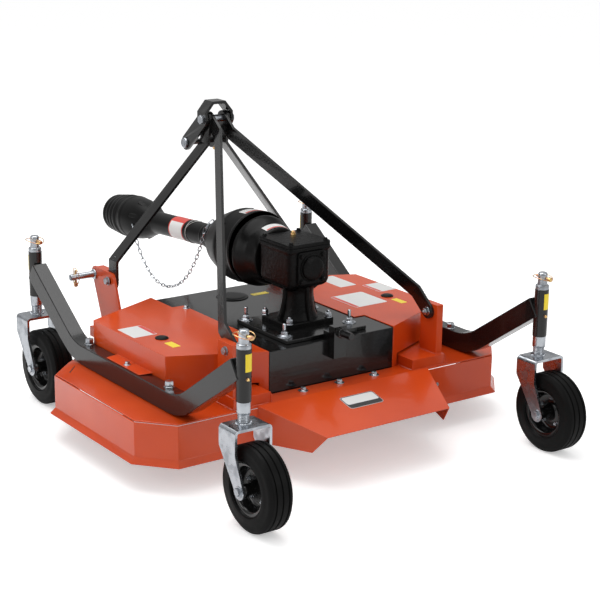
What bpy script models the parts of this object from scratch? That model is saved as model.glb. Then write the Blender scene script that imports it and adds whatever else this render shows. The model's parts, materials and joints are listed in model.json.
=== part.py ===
"""Three-blade finishing mower for a three-point hitch, standing on its four caster wheels.

Metres. +Y is forward, towards the tractor, +X is the mower's right, and the ground is z = 0.
"""

from math import atan2, cos, cosh, pi, radians, sin, tan

import bmesh
import bpy
from mathutils import Matrix, Vector

SEAT = 0.0003  # gap between pieces that rest on each other
RUN = 0.0005  # radial gap of a shaft in its bore
OVERRUN = 0.1  # how far a cutter passes the piece that it cuts
LAP = 0.002  # how deep one form of a casting or weldment runs into the next

# Deck: a flat plate with vertical skirts that flare at the bottom
DECK_TOP = 0.2144
DECK_PLATE = 0.0048
DECK_HALF = 0.6945
DECK_REAR = -0.4846
REAR_CORNER = (0.0865, 0.0998)  # what the chamfer takes off, across and along
SIDE_FRONT = 0.1156  # where the side wall ends
SHOULDER = (0.0885, 0.199)  # in from the side wall, and its place along
NOSE_HALF = 0.30
NOSE_FRONT = 0.419
SKIRT_WALL = 0.004
SKIRT_FOOT = 0.1015
FLARE_FOOT = 0.082
FLARE_OUT = 0.017
SKIRT_SEAM = 0.2  # where the side skirts meet the front skirt
DISCHARGE_HALF = 0.331

# Channels along the deck, which carry the hitch brackets and the brace posts
CHANNEL_INNER = 0.276
CHANNEL_OUTER = 0.41
CHANNEL_RISE = 0.0346
CHANNEL_REAR = DECK_REAR + 0.0086
CHANNEL_WALL = 0.005

# Wheel rails: rectangular tubes on the deck with raised ends and a sleeve at each end
RAIL_INSET = 0.135  # from the deck's side to the rail's middle
RAIL_X = DECK_HALF - RAIL_INSET
RAIL_HEIGHT = 0.0635
RAIL_WIDTH = 0.0508
RAIL_EDGE = 0.003
RAIL_BEND_REAR = -0.443
RAIL_BEND_FRONT = 0.208
RAIL_ANGLE = radians(34.5)
RAIL_BEND_RADIUS = 0.2
SLEEVE_RADIUS = 0.0225
SLEEVE_FOOT = 0.3587
SLEEVE_TOP = 0.5112
COLLAR_RISE = 0.0138

# Covers over the belts
CENTER_HALF = 0.2405
CENTER_REAR = -0.415
CENTER_FRONT = 0.269
COVER_TOP = 0.351
CENTER_SHEET = 0.004
BELT_SHEET = 0.003
COVER_GAP = 0.002  # between a belt cover and the centre cover, or the rail
BELT_OUTER = RAIL_X - RAIL_WIDTH / 2 - COVER_GAP
BELT_REAR = -0.286
BELT_FRONT = 0.163
BELT_NOSE = 0.292
LAP_INNER = 0.2  # the edge that laps the centre cover
LAP_REAR = -0.262
LAP_FRONT = 0.154
NOTCH_CLEAR = 0.006  # round the channel
RAIL_TAB_REACH = 0.044
RAIL_TAB = ((-0.211, -0.205), (0.008, -0.002))  # rear and front, each at the cover and at the tip
CAP_RISE = 0.006
CENTER_CAP_RADIUS = 0.055
BELT_CAP_RADIUS = 0.0215

# Discharge chute
CHUTE_SHEET = 0.003
CHUTE_FLANGE_FRONT = CENTER_REAR - 0.005
CHUTE_FLANGE_HALF = 0.243
CHUTE_CLEAR = 0.004  # from the channel's side to the flange's corner
CHUTE_BEND = 0.0015  # from the deck's rear edge
CHUTE_LIP = (0.235, 0.2264, 0.167)  # half width, reach behind the deck, height
CHUTE_TIP = (0.1784, 0.108)  # reach and height of a side plate's lowest corner

# Spindles and blades
BLADE_REACH = 0.235
BLADE_GAP = 0.0085  # from a side blade's tip to the skirt
BLADE_WIDTH = 0.055
BLADE_THICK = 0.006
BLADE_Z = 0.112
BLADE_LIFT = 0.018
WING_LENGTH = 0.086
SIDE_SPINDLE = (DECK_HALF - SKIRT_WALL - BLADE_GAP - BLADE_REACH, -0.124)
CENTER_SPINDLE = (0.0, 0.161)
SPINDLE_BOSS = 0.034
SPINDLE_FLANGE = 0.065
SPINDLE_FLANGE_THICK = 0.012
SPINDLE_FOOT = 0.148
SPINDLE_FOOT_RADIUS = 0.036
SPINDLE_RISE = 0.05
SPINDLE_SHAFT = 0.0127
BLADE_HUB = 0.028
BLADE_NUT = (0.017, 0.014)  # radius, height

# Caster wheels
WHEEL_RADIUS = 0.127
TYRE_WIDTH = 0.0826
TYRE_SHOULDER = 0.008
RIM_RADIUS = 0.077
RIM_HALF = 0.038
RIM_DISH = 0.011
RIM_WELL = (0.054, 0.066)  # the dish's outer radius, and the wall's inner radius
HUB_RADIUS = 0.017
POST_REAR = -0.754
POST_FRONT = 0.513
TRAIL = 0.070
WHEEL_STEPS = 28
FORK_OUTER = 0.1235
FORK_PLATE = 0.008
FORK_BEND = 0.010
FORK_TOP = 0.288
FORK_AHEAD = 0.031
FORK_BEHIND = 0.051
FORK_STRAIGHT = 0.236  # below this the leg slants back to the axle
FORK_END_RADIUS = 0.024
AXLE_RADIUS = 0.008
AXLE_HEAD = (0.0125, 0.009)  # radius, height
STEM_RADIUS = 0.016
STEM_NECK = 0.015
STEM_TOP = 0.566
BUSH_RADIUS = 0.017
BUSH_TOP = 0.322
SPACER_RADIUS = 0.0207
FLANGE_RADIUS = 0.0198

# Gearbox, bolted through its mount plate to the centre cover
GEARBOX_Y = -0.223
PLATE_HALF = 0.155
PLATE_BACK = 0.161
PLATE_AHEAD = 0.119
PLATE_THICK = 0.012
BASE_HALF = (0.092, 0.076)
BASE_THICK = 0.017
COLUMN_TOP = 0.487
COLUMN = ((0.050, 1.0), (0.045, 0.66), (0.052, 0.3), (0.064, 0.0))  # radius, share of the height
FIN_THICK = 0.012
FIN_HALF = (0.070, 0.053)  # at the foot and at the top
HOUSING_HALF = 0.075
HOUSING_BACK = 0.075
HOUSING_AHEAD = 0.092
HOUSING_TOP = 0.628
HOUSING_EDGE = 0.012
LID_INSET = 0.007
LID_THICK = 0.010
INPUT_Z = 0.552
PAD = (0.045, 0.007)  # half width, rise
REAR_CAP = (0.034, 0.015)  # radius, rise
NECK = (0.05, 0.02)  # radius, length

# Driveline, its places measured along it from its universal joint
JOINT_AHEAD = 0.195  # from the gearbox's front face
DROOP = radians(3.8)
TURN_STEPS = 24
GUARD_WALL = 0.003
SHIELD_HOLE = 0.036
SHIELD_FACE = 0.093
SHIELD_BAND = (0.1, 0.045)  # radius, length
SHIELD_MOUTH = (0.118, 0.085, 0.098)  # radius, where it starts and where it ends
BELL_RADIUS = 0.124
BELL_REAR = -0.067
BELL_FRONT = 0.03
BELL_CONE = ((0.105, 0.085), (0.0925, 0.122), (0.0675, 0.16), (0.0455, 0.205))  # radius, place
GUARD_COLLAR = 0.0445
CONE_END = 0.233
GUARD_TUBE_RADIUS = 0.039
INNER_GUARD_END = 0.56
GUARD_BEARING = 0.012  # thickness of the wall that rides on the shaft
FRONT_BELL_REAR = 0.589
FRONT_BELL_DOME = ((0.0735, 0.69), (0.067, 0.66), (0.057, 0.631), (0.046, 0.602))  # radius, place
FRONT_BELL_BAND = (0.079, 0.745)  # radius, where it starts
FRONT_BELL_RIB = (0.0785, 0.79, 0.0031, 0.0285, 0.004)  # radius, place, narrowing, pitch, depth
FRONT_BELL_RIBS = 3
FRONT_BELL_END = 0.885
FRONT_BELL_LIP = 0.0665
SHAFT_RADIUS = 0.016
SHAFT_HUB = (0.03, 0.095)  # radius, where it ends
SHAFT_STUB = 0.0175
SHAFT_END = 0.52
YOKE_TUBE_RADIUS = 0.0215
YOKE_TUBE_REAR = 0.26
YOKE_SOCKET = (0.024, 0.66)  # radius, where it starts
YOKE_FOOT = 0.69
YOKE_HALF = 0.036
YOKE_WIDE = 0.034
YOKE_EAR = (0.010, 0.075)  # thickness, length
YOKE_BRIDGE = 0.018
CROSS = (0.009, 0.055)  # radius, place ahead of the foot
YOKE_HUB = (0.026, 0.075)  # radius, length
PTO_BORE = 0.0175

# Guard chain, which hangs from the rear guard's collar to the front bell
CHAIN_WIRE = 0.0034
CHAIN_PITCH = 0.0172
CHAIN_HALF = 0.0042  # half the width between the wires' middles
CHAIN_HOOK = (0.17, 0.0634)  # place on the cone, and the cone's radius there
CHAIN_ROUND = (radians(112.5), radians(157.5))  # from the hook down the cone's side
CHAIN_FOOT = (-0.0675, 0.7185, 0.4935)
CHAIN_BOW = 0.0035  # half of a strand's straight part
CHAIN_SAG = 0.207
CHAIN_CURVE = 2.0

# Hitch and mast
HITCH_SPREAD = 0.7532
HITCH_PIN_RADIUS = 0.011
HITCH_PIN_LENGTH = 0.088
HITCH_PIN = (0.451, 0.419)
COLLAR = (0.018, 0.006)  # radius, thickness
PIN_NUT = (0.016, 0.014, 0.010)  # radius, height, thread beyond it
BRACKET_THICK = 0.008
BRACKET_FOOT = (0.252, 0.397)  # rear and front
BRACKET_HEAD = (0.314, 0.469)
BRACKET_TOP = 0.447
BRACKET_ROUND = (0.02, 0.018)  # rear and front corner
BRACKET_FLANGE = (0.033, 0.377, 0.446)  # width, rear and front
MAST_BOLT = (0.264, 0.949)
MAST_BOLT_RADIUS = 0.0095
MAST_HEAD = (0.0155, 0.009)  # radius, height
MAST_SPACER = 0.0135
BAR_THICK = 0.0095
BAR_WIDTH = 0.0508
STRUT_FOOT = (0.347, 0.417)
STRUT_FOLD = (0.339, 0.488)
STRUT_HEAD = 0.866  # height at which the struts run straight up again
BRACE_FOOT = (-0.425, 0.387)
BRACE_BENDS = (0.082, 0.82)  # along the brace
BRACE_HEAD = 0.02555  # a brace's middle at the mast bolt
POST_INNER = 0.381
POST_OUTER = 0.406
POST_ENDS = (-0.465, -0.382)
POST_TOP = 0.413
TOP_PIN = (0.370, 0.855)
TOP_PIN_RADIUS = 0.0095
TOP_PIN_HEAD = (0.017, 0.008)  # radius, height
CLEVIS_X = 0.05025
CLEVIS_PLATE = 0.0095
CLEVIS_HALF = 0.0254
HAT_HALF = 0.023
HAT_RISE = 0.0558
HAT_SHOULDER = 0.023
HAT_ENDS = (-0.02, 0.031)  # rear and front, from the mast bolt

# Belt tensioner on the centre cover's rear edge
LUG = (-0.018, 0.03, 0.03, 0.296)  # its sides, its depth and its foot
LUG_TOP = 0.4
LUG_ARM = (0.028, 0.008, 0.026)  # reach over the cover, thickness, height
RIDGE = (0.11, 0.02, 0.016)  # right end, place ahead of the cover's edge, height
TENSION_ROD = (0.0115, 0.055)  # radius, length
TENSION_NUT = (0.018, 0.009)

SIDES = (("left", -1), ("right", 1))
CASTERS = tuple((end + "_" + name, side, post) for end, post in (("rear", POST_REAR), ("front", POST_FRONT))
                for name, side in SIDES)


def start():
    for obj in list(bpy.data.objects):
        bpy.data.objects.remove(obj)
    made = []
    for name in ("finishing_mower", "finishing_mower_cutters"):
        collection = bpy.data.collections.new(name)
        bpy.context.scene.collection.children.link(collection)
        made.append(collection)
    return made


PARTS, CUTTERS = start()


def paint(name, color, roughness, metallic=0.0):
    material = bpy.data.materials.new(name)
    material.use_nodes = True
    shader = material.node_tree.nodes["Principled BSDF"]
    shader.inputs["Base Color"].default_value = (*color, 1.0)
    shader.inputs["Roughness"].default_value = roughness
    shader.inputs["Metallic"].default_value = metallic
    return material


ORANGE = paint("orange_paint", (0.62, 0.07, 0.012), 0.3)
BLACK = paint("black_paint", (0.012, 0.012, 0.013), 0.35)
CAST = paint("black_casting", (0.01, 0.01, 0.01), 0.45)
PLASTIC = paint("black_plastic", (0.014, 0.014, 0.014), 0.5)
ZINC = paint("zinc_plating", (0.62, 0.64, 0.66), 0.28, 1.0)
STEEL = paint("blade_steel", (0.3, 0.3, 0.31), 0.45, 1.0)
RUBBER = paint("wheel_rubber", (0.013, 0.013, 0.013), 0.7)

UPRIGHT = Matrix.Identity(4)
ACROSS = Matrix(((0, 0, 1, 0), (1, 0, 0, 0), (0, 1, 0, 0), (0, 0, 0, 1)))  # outline (y, z), depth along x
REARWARD = Matrix(((1, 0, 0, 0), (0, 0, -1, 0), (0, 1, 0, 0), (0, 0, 0, 1)))  # outline (x, z), depth along -y
FORWARD = Matrix(((1, 0, 0, 0), (0, 0, 1, 0), (0, -1, 0, 0), (0, 0, 0, 1)))  # depth along y


def at(x=0.0, y=0.0, z=0.0):
    return Matrix.Translation((x, y, z))


def add(name, mesh, frame, material):
    obj = bpy.data.objects.new(name, mesh)
    PARTS.objects.link(obj)
    obj.matrix_world = frame
    if material:
        mesh.materials.append(material)
    return obj


def meshed(name, curve, frame, material):
    """The curve as a welded mesh, so that it can be cut and joined."""
    source = bpy.data.objects.new(name, curve)
    CUTTERS.objects.link(source)
    mesh = bpy.data.meshes.new_from_object(source.evaluated_get(bpy.context.evaluated_depsgraph_get()))
    bpy.data.objects.remove(source)
    work = bmesh.new()
    work.from_mesh(mesh)
    bmesh.ops.remove_doubles(work, verts=work.verts, dist=1e-5)
    bmesh.ops.recalc_face_normals(work, faces=work.faces)
    work.to_mesh(mesh)
    work.free()
    mesh.name = name
    return add(name, mesh, frame, material)


def flat(name, loops, depth, frame, material=None):
    """A plate: a filled 2D curve through the loops, the outline first and then any holes."""
    curve = bpy.data.curves.new(name, "CURVE")
    curve.dimensions = "2D"
    curve.fill_mode = "BOTH"
    curve.extrude = depth / 2
    for loop in loops:
        spline = curve.splines.new("POLY")
        spline.points.add(len(loop) - 1)
        spline.use_cyclic_u = True
        for point, place in zip(spline.points, loop):
            point.co = (*place, 0, 1)
    return meshed(name, curve, frame, material)


def box(name, low, high, material=None):
    work = bmesh.new()
    bmesh.ops.create_cube(work, size=1.0)
    size = Vector(high) - Vector(low)
    bmesh.ops.scale(work, vec=size, verts=work.verts)
    mesh = bpy.data.meshes.new(name)
    work.to_mesh(mesh)
    work.free()
    return add(name, mesh, Matrix.Translation((Vector(high) + Vector(low)) / 2), material)


def round_bar(name, radius, low, high, frame, material=None, sides=16):
    """A cylinder about the frame's z axis, from low to high along it."""
    work = bmesh.new()
    bmesh.ops.create_cone(work, cap_ends=True, segments=sides, radius1=radius, radius2=radius,
                          depth=high - low)
    mesh = bpy.data.meshes.new(name)
    work.to_mesh(mesh)
    work.free()
    mesh.shade_smooth()
    mesh.set_sharp_from_angle(angle=radians(35))
    return add(name, mesh, frame @ at(z=(low + high) / 2), material)


def turned(name, profile, frame, material=None, steps=TURN_STEPS, closed=False):
    """A profile of (radius, height) points, run down its outer side, turned about the frame's z axis."""
    count = len(profile)
    edges = [(i, (i + 1) % count) for i in range(count if closed else count - 1)]
    mesh = bpy.data.meshes.new(name)
    mesh.from_pydata([(radius, 0, height) for radius, height in profile], edges, [])
    obj = add(name, mesh, frame, material)
    screw = obj.modifiers.new("turn", "SCREW")
    screw.steps = steps
    screw.render_steps = steps
    screw.use_merge_vertices = True
    screw.merge_threshold = 0.0001
    screw.use_normal_calculate = False
    screw.use_smooth_shade = True
    return obj


def sheet(name, points, faces, thickness, material=None, flip=False):
    """An open surface, its faces outwards, thickened inwards."""
    mesh = bpy.data.meshes.new(name)
    mesh.from_pydata(points, [], [face[::-1] if flip else face for face in faces])
    obj = add(name, mesh, UPRIGHT, material)
    solid = obj.modifiers.new("sheet", "SOLIDIFY")
    solid.thickness = thickness
    solid.offset = -1.0
    solid.use_even_offset = True
    solid.use_quality_normals = True
    return obj


def combine(target, others, operation):
    for other in others:
        PARTS.objects.unlink(other)
        CUTTERS.objects.link(other)
        other.hide_render = True
        other.display_type = "WIRE"
        step = target.modifiers.new(operation.lower(), "BOOLEAN")
        step.operation = operation
        step.solver = "EXACT"
        step.object = other
    return target


def fuse(target, *others):
    return combine(target, others, "UNION")


def cut(target, *others):
    return combine(target, others, "DIFFERENCE")


def common(target, *others):
    return combine(target, others, "INTERSECT")


def bevel(obj, width, segments):
    edge = obj.modifiers.new("edges", "BEVEL")
    edge.width = width
    edge.segments = segments
    edge.limit_method = "ANGLE"
    edge.angle_limit = radians(40)
    return obj


def arc(center, radius, first, last, count=6):
    return [(center[0] + radius * cos(first + (last - first) * i / count),
             center[1] + radius * sin(first + (last - first) * i / count)) for i in range(count + 1)]


def circle(center, radius, sides=20):
    return arc(center, radius, 0.0, 2 * pi, sides)[:-1]


def mirror(points):
    return [(-x, y) for x, y in reversed(points)]


def band(path, half):
    """The outline of a strip of half-width half along a path, mitred at its bends."""
    sides = ([], [])
    for i, point in enumerate(path):
        here = Vector(point)
        before = (here - Vector(path[i - 1])).normalized() if i else None
        after = (Vector(path[i + 1]) - here).normalized() if i + 1 < len(path) else None
        before = before or after
        after = after or before
        normal = (Vector((-before.y, before.x)) + Vector((-after.y, after.x))).normalized()
        reach = half / normal.dot(Vector((-after.y, after.x)))
        sides[0].append(tuple(here + normal * reach))
        sides[1].append(tuple(here - normal * reach))
    return sides[0] + sides[1][::-1]


def strap(path, half):
    """The outline of a flat bar: a band with round ends about its first and last points."""
    count = len(path)
    outline = band(path, half)
    first = atan2(path[1][1] - path[0][1], path[1][0] - path[0][0])
    last = atan2(path[-1][1] - path[-2][1], path[-1][0] - path[-2][0])
    return [*outline[1:count - 1], *arc(path[-1], half, last + pi / 2, last - pi / 2, 8),
            *outline[count + 1:-1], *arc(path[0], half, first - pi / 2, first - 3 * pi / 2, 8)]


def deck_half_outline():
    """The right half, from the rear wall to the nose."""
    corner_x, corner_y = REAR_CORNER
    inset, shoulder = SHOULDER
    return [(DECK_HALF - corner_x, DECK_REAR), (DECK_HALF, DECK_REAR + corner_y), (DECK_HALF, SIDE_FRONT),
            (DECK_HALF - inset, shoulder), (NOSE_HALF, NOSE_FRONT)]


def spindles():
    yield "center", 0, CENTER_SPINDLE
    for name, side in SIDES:
        yield name, side, (side * SIDE_SPINDLE[0], SIDE_SPINDLE[1])


def deck():
    outline = deck_half_outline()
    holes = [circle(place, SPINDLE_BOSS + RUN) for _, _, place in spindles()]
    flat("deck_plate", [outline + mirror(outline), *holes], DECK_PLATE, at(z=DECK_TOP - DECK_PLATE / 2), ORANGE)
    wall_top = DECK_TOP - DECK_PLATE - SEAT
    side_path = [(DISCHARGE_HALF, DECK_REAR), *outline, (SKIRT_SEAM, NOSE_FRONT)]
    for name, side in SIDES:
        skirt("skirt_" + name, [(side * x, y) for x, y in side_path], wall_top, side < 0)
    edge = SKIRT_SEAM - SEAT
    skirt("skirt_front", [(edge, NOSE_FRONT), (-edge, NOSE_FRONT)], wall_top, False)


def skirt(name, path, wall_top, flip):
    """A wall along the path with a flare at its foot, thickened to the inside."""
    width = len(path)
    flared = band(path, FLARE_OUT)
    rim = flared[:width] if flip else flared[width:][::-1]
    rows = ((path, wall_top), (path, SKIRT_FOOT), (rim, FLARE_FOOT))
    points = [(x, y, height) for row, height in rows for x, y in row]
    faces = [(r * width + i + 1, r * width + i, (r + 1) * width + i, (r + 1) * width + i + 1)
             for r in range(len(rows) - 1) for i in range(width - 1)]
    return sheet(name, points, faces, SKIRT_WALL, ORANGE, not flip)


def chute():
    """A folded sheet: flange on the deck, sloping roof, and a side plate under each slanted edge."""
    top = DECK_TOP + SEAT + CHUTE_SHEET
    bend = DECK_REAR - CHUTE_BEND
    lip_x, lip_reach, lip_z = CHUTE_LIP
    tip_reach, tip_z = CHUTE_TIP
    tip_x = DISCHARGE_HALF + (lip_x - DISCHARGE_HALF) * tip_reach / lip_reach
    half = [(CHUTE_FLANGE_HALF, CHUTE_FLANGE_FRONT, top),
            (CHANNEL_INNER - CHUTE_CLEAR, CHANNEL_REAR - CHUTE_BEND / 2, top),
            (DISCHARGE_HALF, bend, top), (lip_x, DECK_REAR - lip_reach, lip_z),
            (tip_x, DECK_REAR - tip_reach, tip_z), (DISCHARGE_HALF, bend, SKIRT_FOOT)]
    points = half + [(-x, y, z) for x, y, z in half]
    faces = [(6, 7, 8, 2, 1, 0), (8, 9, 3, 2), (2, 3, 4, 5), (9, 8, 11, 10)]
    return sheet("discharge_chute", points, faces, CHUTE_SHEET, ORANGE)


def hitch_rail(name, side):
    """A channel on the deck with the hitch bracket welded on its front and the brace post on its rear."""
    foot = DECK_TOP + SEAT
    top = DECK_TOP + CHANNEL_RISE
    xs = sorted((side * CHANNEL_INNER, side * CHANNEL_OUTER))
    corners = [(xs[0], CHANNEL_REAR), (xs[1], CHANNEL_REAR), (xs[1], NOSE_FRONT), (xs[0], NOSE_FRONT)]
    points = [(x, y, z) for z in (foot, top) for x, y in corners]
    faces = [(4, 5, 6, 7)] + [(i, (i + 1) % 4, (i + 1) % 4 + 4, i + 4) for i in range(4)]
    channel = sheet("hitch_rail_" + name, points, faces, CHANNEL_WALL, ORANGE)
    sunk = top - CHANNEL_WALL / 2
    outer = HITCH_SPREAD / 2 - COLLAR[1]
    rear_round, front_round = BRACKET_ROUND
    rear_head, front_head = BRACKET_HEAD
    outline = [(BRACKET_FOOT[0], sunk), (BRACKET_FOOT[1], sunk),
               *arc((front_head - front_round, BRACKET_TOP - front_round), front_round, -0.3, pi / 2),
               *arc((rear_head + rear_round, BRACKET_TOP - rear_round), rear_round, pi / 2, pi, 4)]
    holes = [circle(HITCH_PIN, HITCH_PIN_RADIUS + RUN), circle(STRUT_FOOT, MAST_BOLT_RADIUS + RUN, 16)]
    bracket = flat("hitch_bracket_" + name, [outline, *holes], BRACKET_THICK,
                   at(x=side * (outer - BRACKET_THICK / 2)) @ ACROSS)
    wide, rear, front = BRACKET_FLANGE
    edges = sorted((side * (outer - BRACKET_THICK / 2), side * (outer - wide)))
    flange = box("hitch_flange_" + name, (edges[0], rear, BRACKET_TOP - BRACKET_THICK),
                 (edges[1], front, BRACKET_TOP))
    edges = sorted((side * POST_INNER, side * POST_OUTER))
    post = box("brace_post_" + name, (edges[0], POST_ENDS[0], sunk), (edges[1], POST_ENDS[1], POST_TOP))
    hole = round_bar("post_hole_" + name, MAST_BOLT_RADIUS + RUN, -OVERRUN, OVERRUN,
                     at(side * POST_INNER, *BRACE_FOOT) @ ACROSS)
    return cut(fuse(channel, bracket, flange, post), hole)


def covers():
    foot = DECK_TOP + SEAT
    half, rear, front = CENTER_HALF, CENTER_REAR, CENTER_FRONT
    points = [(-half, rear, foot), (half, rear, foot), (-half, rear, COVER_TOP), (half, rear, COVER_TOP),
              (-half, front, COVER_TOP), (half, front, COVER_TOP), (-half, front, foot), (half, front, foot)]
    faces = [(0, 1, 3, 2), (2, 3, 5, 4), (4, 5, 7, 6)]
    sheet("center_cover", points, faces, CENTER_SHEET, BLACK)
    cap("cap_center", CENTER_SPINDLE, CENTER_CAP_RADIUS, COVER_TOP)
    for name, side in SIDES:
        belt_cover(name, side)


def cap(name, place, radius, seat):
    foot = seat + SEAT
    profile = [(0, foot + CAP_RISE), (radius * 0.9, foot + CAP_RISE), (radius, foot + CAP_RISE / 2),
               (radius, foot), (0, foot)]
    return turned(name, profile, at(*place), PLASTIC, steps=20)


def belt_cover(name, side):
    """A folded sheet over one side's belt, lapped on the centre cover, tabbed to the rail, notched round the channel."""
    foot = DECK_TOP + SEAT
    top = COVER_TOP + SEAT + BELT_SHEET
    inner = CENTER_HALF + COVER_GAP
    plan = [(inner, CENTER_REAR), (BELT_OUTER, BELT_REAR), (BELT_OUTER, BELT_FRONT), (inner, BELT_NOSE)]
    plan = [(side * x, y) for x, y in plan]
    points = [(x, y, z) for z in (foot, top) for x, y in plan]
    faces = [(4, 5, 6, 7)] + [(i, i + 1, i + 5, i + 4) for i in range(3)]
    cover = sheet("belt_cover_" + name, points, faces, BELT_SHEET, ORANGE, side < 0)
    root = inner + 2 * LAP
    lap = [(root, LAP_REAR), (LAP_INNER, LAP_REAR + LAP), (LAP_INNER, LAP_FRONT - 2 * LAP), (root, LAP_FRONT)]
    lap = flat("lap_" + name, [[(side * x, y) for x, y in lap]], BELT_SHEET, at(z=top - BELT_SHEET / 2))
    (rear_in, rear_out), (front_in, front_out) = RAIL_TAB
    root = BELT_OUTER - BELT_SHEET / 2
    tip = BELT_OUTER + RAIL_TAB_REACH
    tab = [(root, rear_in), (tip, rear_out), (tip, front_out), (root, front_in)]
    tab = flat("rail_tab_" + name, [[(side * x, y) for x, y in tab]], BELT_SHEET,
               at(z=foot + RAIL_HEIGHT + SEAT + BELT_SHEET / 2))
    xs = sorted((side * (CHANNEL_INNER - NOTCH_CLEAR), side * (CHANNEL_OUTER + NOTCH_CLEAR)))
    notch = box("notch_" + name, (xs[0], CENTER_REAR - OVERRUN, foot - OVERRUN),
                (xs[1], BELT_NOSE + OVERRUN, DECK_TOP + CHANNEL_RISE + NOTCH_CLEAR))
    cap("cap_" + name, (side * SIDE_SPINDLE[0], SIDE_SPINDLE[1]), BELT_CAP_RADIUS, top)
    return cut(fuse(cover, lap, tab), notch)


def spindle(name, place):
    """The bearing housing, its flange bolted under the deck and its boss up through it."""
    flange = DECK_TOP - DECK_PLATE - SEAT
    bore = SPINDLE_SHAFT + RUN
    profile = [(bore, flange + SPINDLE_RISE), (SPINDLE_BOSS, flange + SPINDLE_RISE), (SPINDLE_BOSS, flange),
               (SPINDLE_FLANGE, flange), (SPINDLE_FLANGE, flange - SPINDLE_FLANGE_THICK),
               (SPINDLE_FOOT_RADIUS + 3 * LAP, flange - SPINDLE_FLANGE_THICK - LAP),
               (SPINDLE_FOOT_RADIUS, SPINDLE_FOOT), (bore, SPINDLE_FOOT)]
    turned("spindle_" + name, profile, at(*place), CAST, steps=16, closed=True)
    blade(name, place, flange + SPINDLE_RISE - LAP)


def blade(name, place, shaft_top):
    """A flat bar on the spindle's shaft between a hub and a nut, with a lifting wing at each tip."""
    nut_radius, nut_height = BLADE_NUT
    shaft = round_bar("blade_" + name, SPINDLE_SHAFT, BLADE_Z - nut_height + LAP, shaft_top, at(*place), STEEL)
    hub = round_bar("blade_hub_" + name, BLADE_HUB, BLADE_Z + BLADE_THICK - LAP / 2, SPINDLE_FOOT - 2 * LAP,
                    at(*place))
    nut = round_bar("blade_nut_" + name, nut_radius, BLADE_Z - nut_height, BLADE_Z + LAP / 2, at(*place), sides=6)
    half = BLADE_WIDTH / 2
    corner = (BLADE_REACH ** 2 - half ** 2) ** 0.5
    bar = flat("blade_bar_" + name, [[(-corner, -half), (corner, -half), (corner, half), (-corner, half)]],
               BLADE_THICK, at(place[0], place[1], BLADE_Z + BLADE_THICK / 2))
    fuse(shaft, hub, nut, bar)
    root = half - 2 * LAP
    tip = half + LAP
    wing = [(root, BLADE_Z + LAP / 2), (root + 1.5 * LAP, BLADE_Z + LAP / 2), (tip + LAP, BLADE_Z + BLADE_LIFT),
            (tip - LAP / 2, BLADE_Z + BLADE_LIFT)]
    for end in (-1, 1):
        middle = place[0] + end * (corner - 2 * LAP - WING_LENGTH / 2)
        fuse(shaft, flat(f"blade_wing_{name}_{end}", [[(end * y, z) for y, z in wing]], WING_LENGTH,
                         at(middle, place[1]) @ ACROSS))


def wheel_rail(name, side):
    """A rectangular tube with both ends bent up to a sleeve for the caster's stem."""
    mid = DECK_TOP + SEAT + RAIL_HEIGHT / 2
    radius = RAIL_BEND_RADIUS
    run = radius * tan(RAIL_ANGLE / 2)
    path = []
    ends = ((RAIL_BEND_REAR, POST_REAR, -1), (RAIL_BEND_FRONT, POST_FRONT, 1))
    for bend, post, way in ends:
        stop = post - way * SLEEVE_RADIUS / 2
        turn = arc((bend - way * run, mid + radius), radius, -pi / 2, -pi / 2 + way * RAIL_ANGLE, 4)
        leg = [*turn, (stop, mid + abs(stop - bend) * tan(RAIL_ANGLE))]
        path = path + (leg[::-1] if way < 0 else leg)
    tube = flat("wheel_rail_" + name, [band(path, RAIL_HEIGHT / 2)], RAIL_WIDTH, at(x=side * RAIL_X) @ ACROSS,
                BLACK)
    bevel(tube, RAIL_EDGE, 1)
    for _, post, way in ends:
        place = at(side * RAIL_X, post)
        tag = f"{name}_{way}"
        sleeve = round_bar("sleeve_" + tag, SLEEVE_RADIUS, SLEEVE_FOOT, SLEEVE_TOP, place)
        hole = round_bar("sleeve_bore_" + tag, STEM_RADIUS + RUN, SLEEVE_FOOT - OVERRUN, SLEEVE_TOP + OVERRUN, place)
        cut(fuse(tube, sleeve), hole)
    return tube


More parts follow.
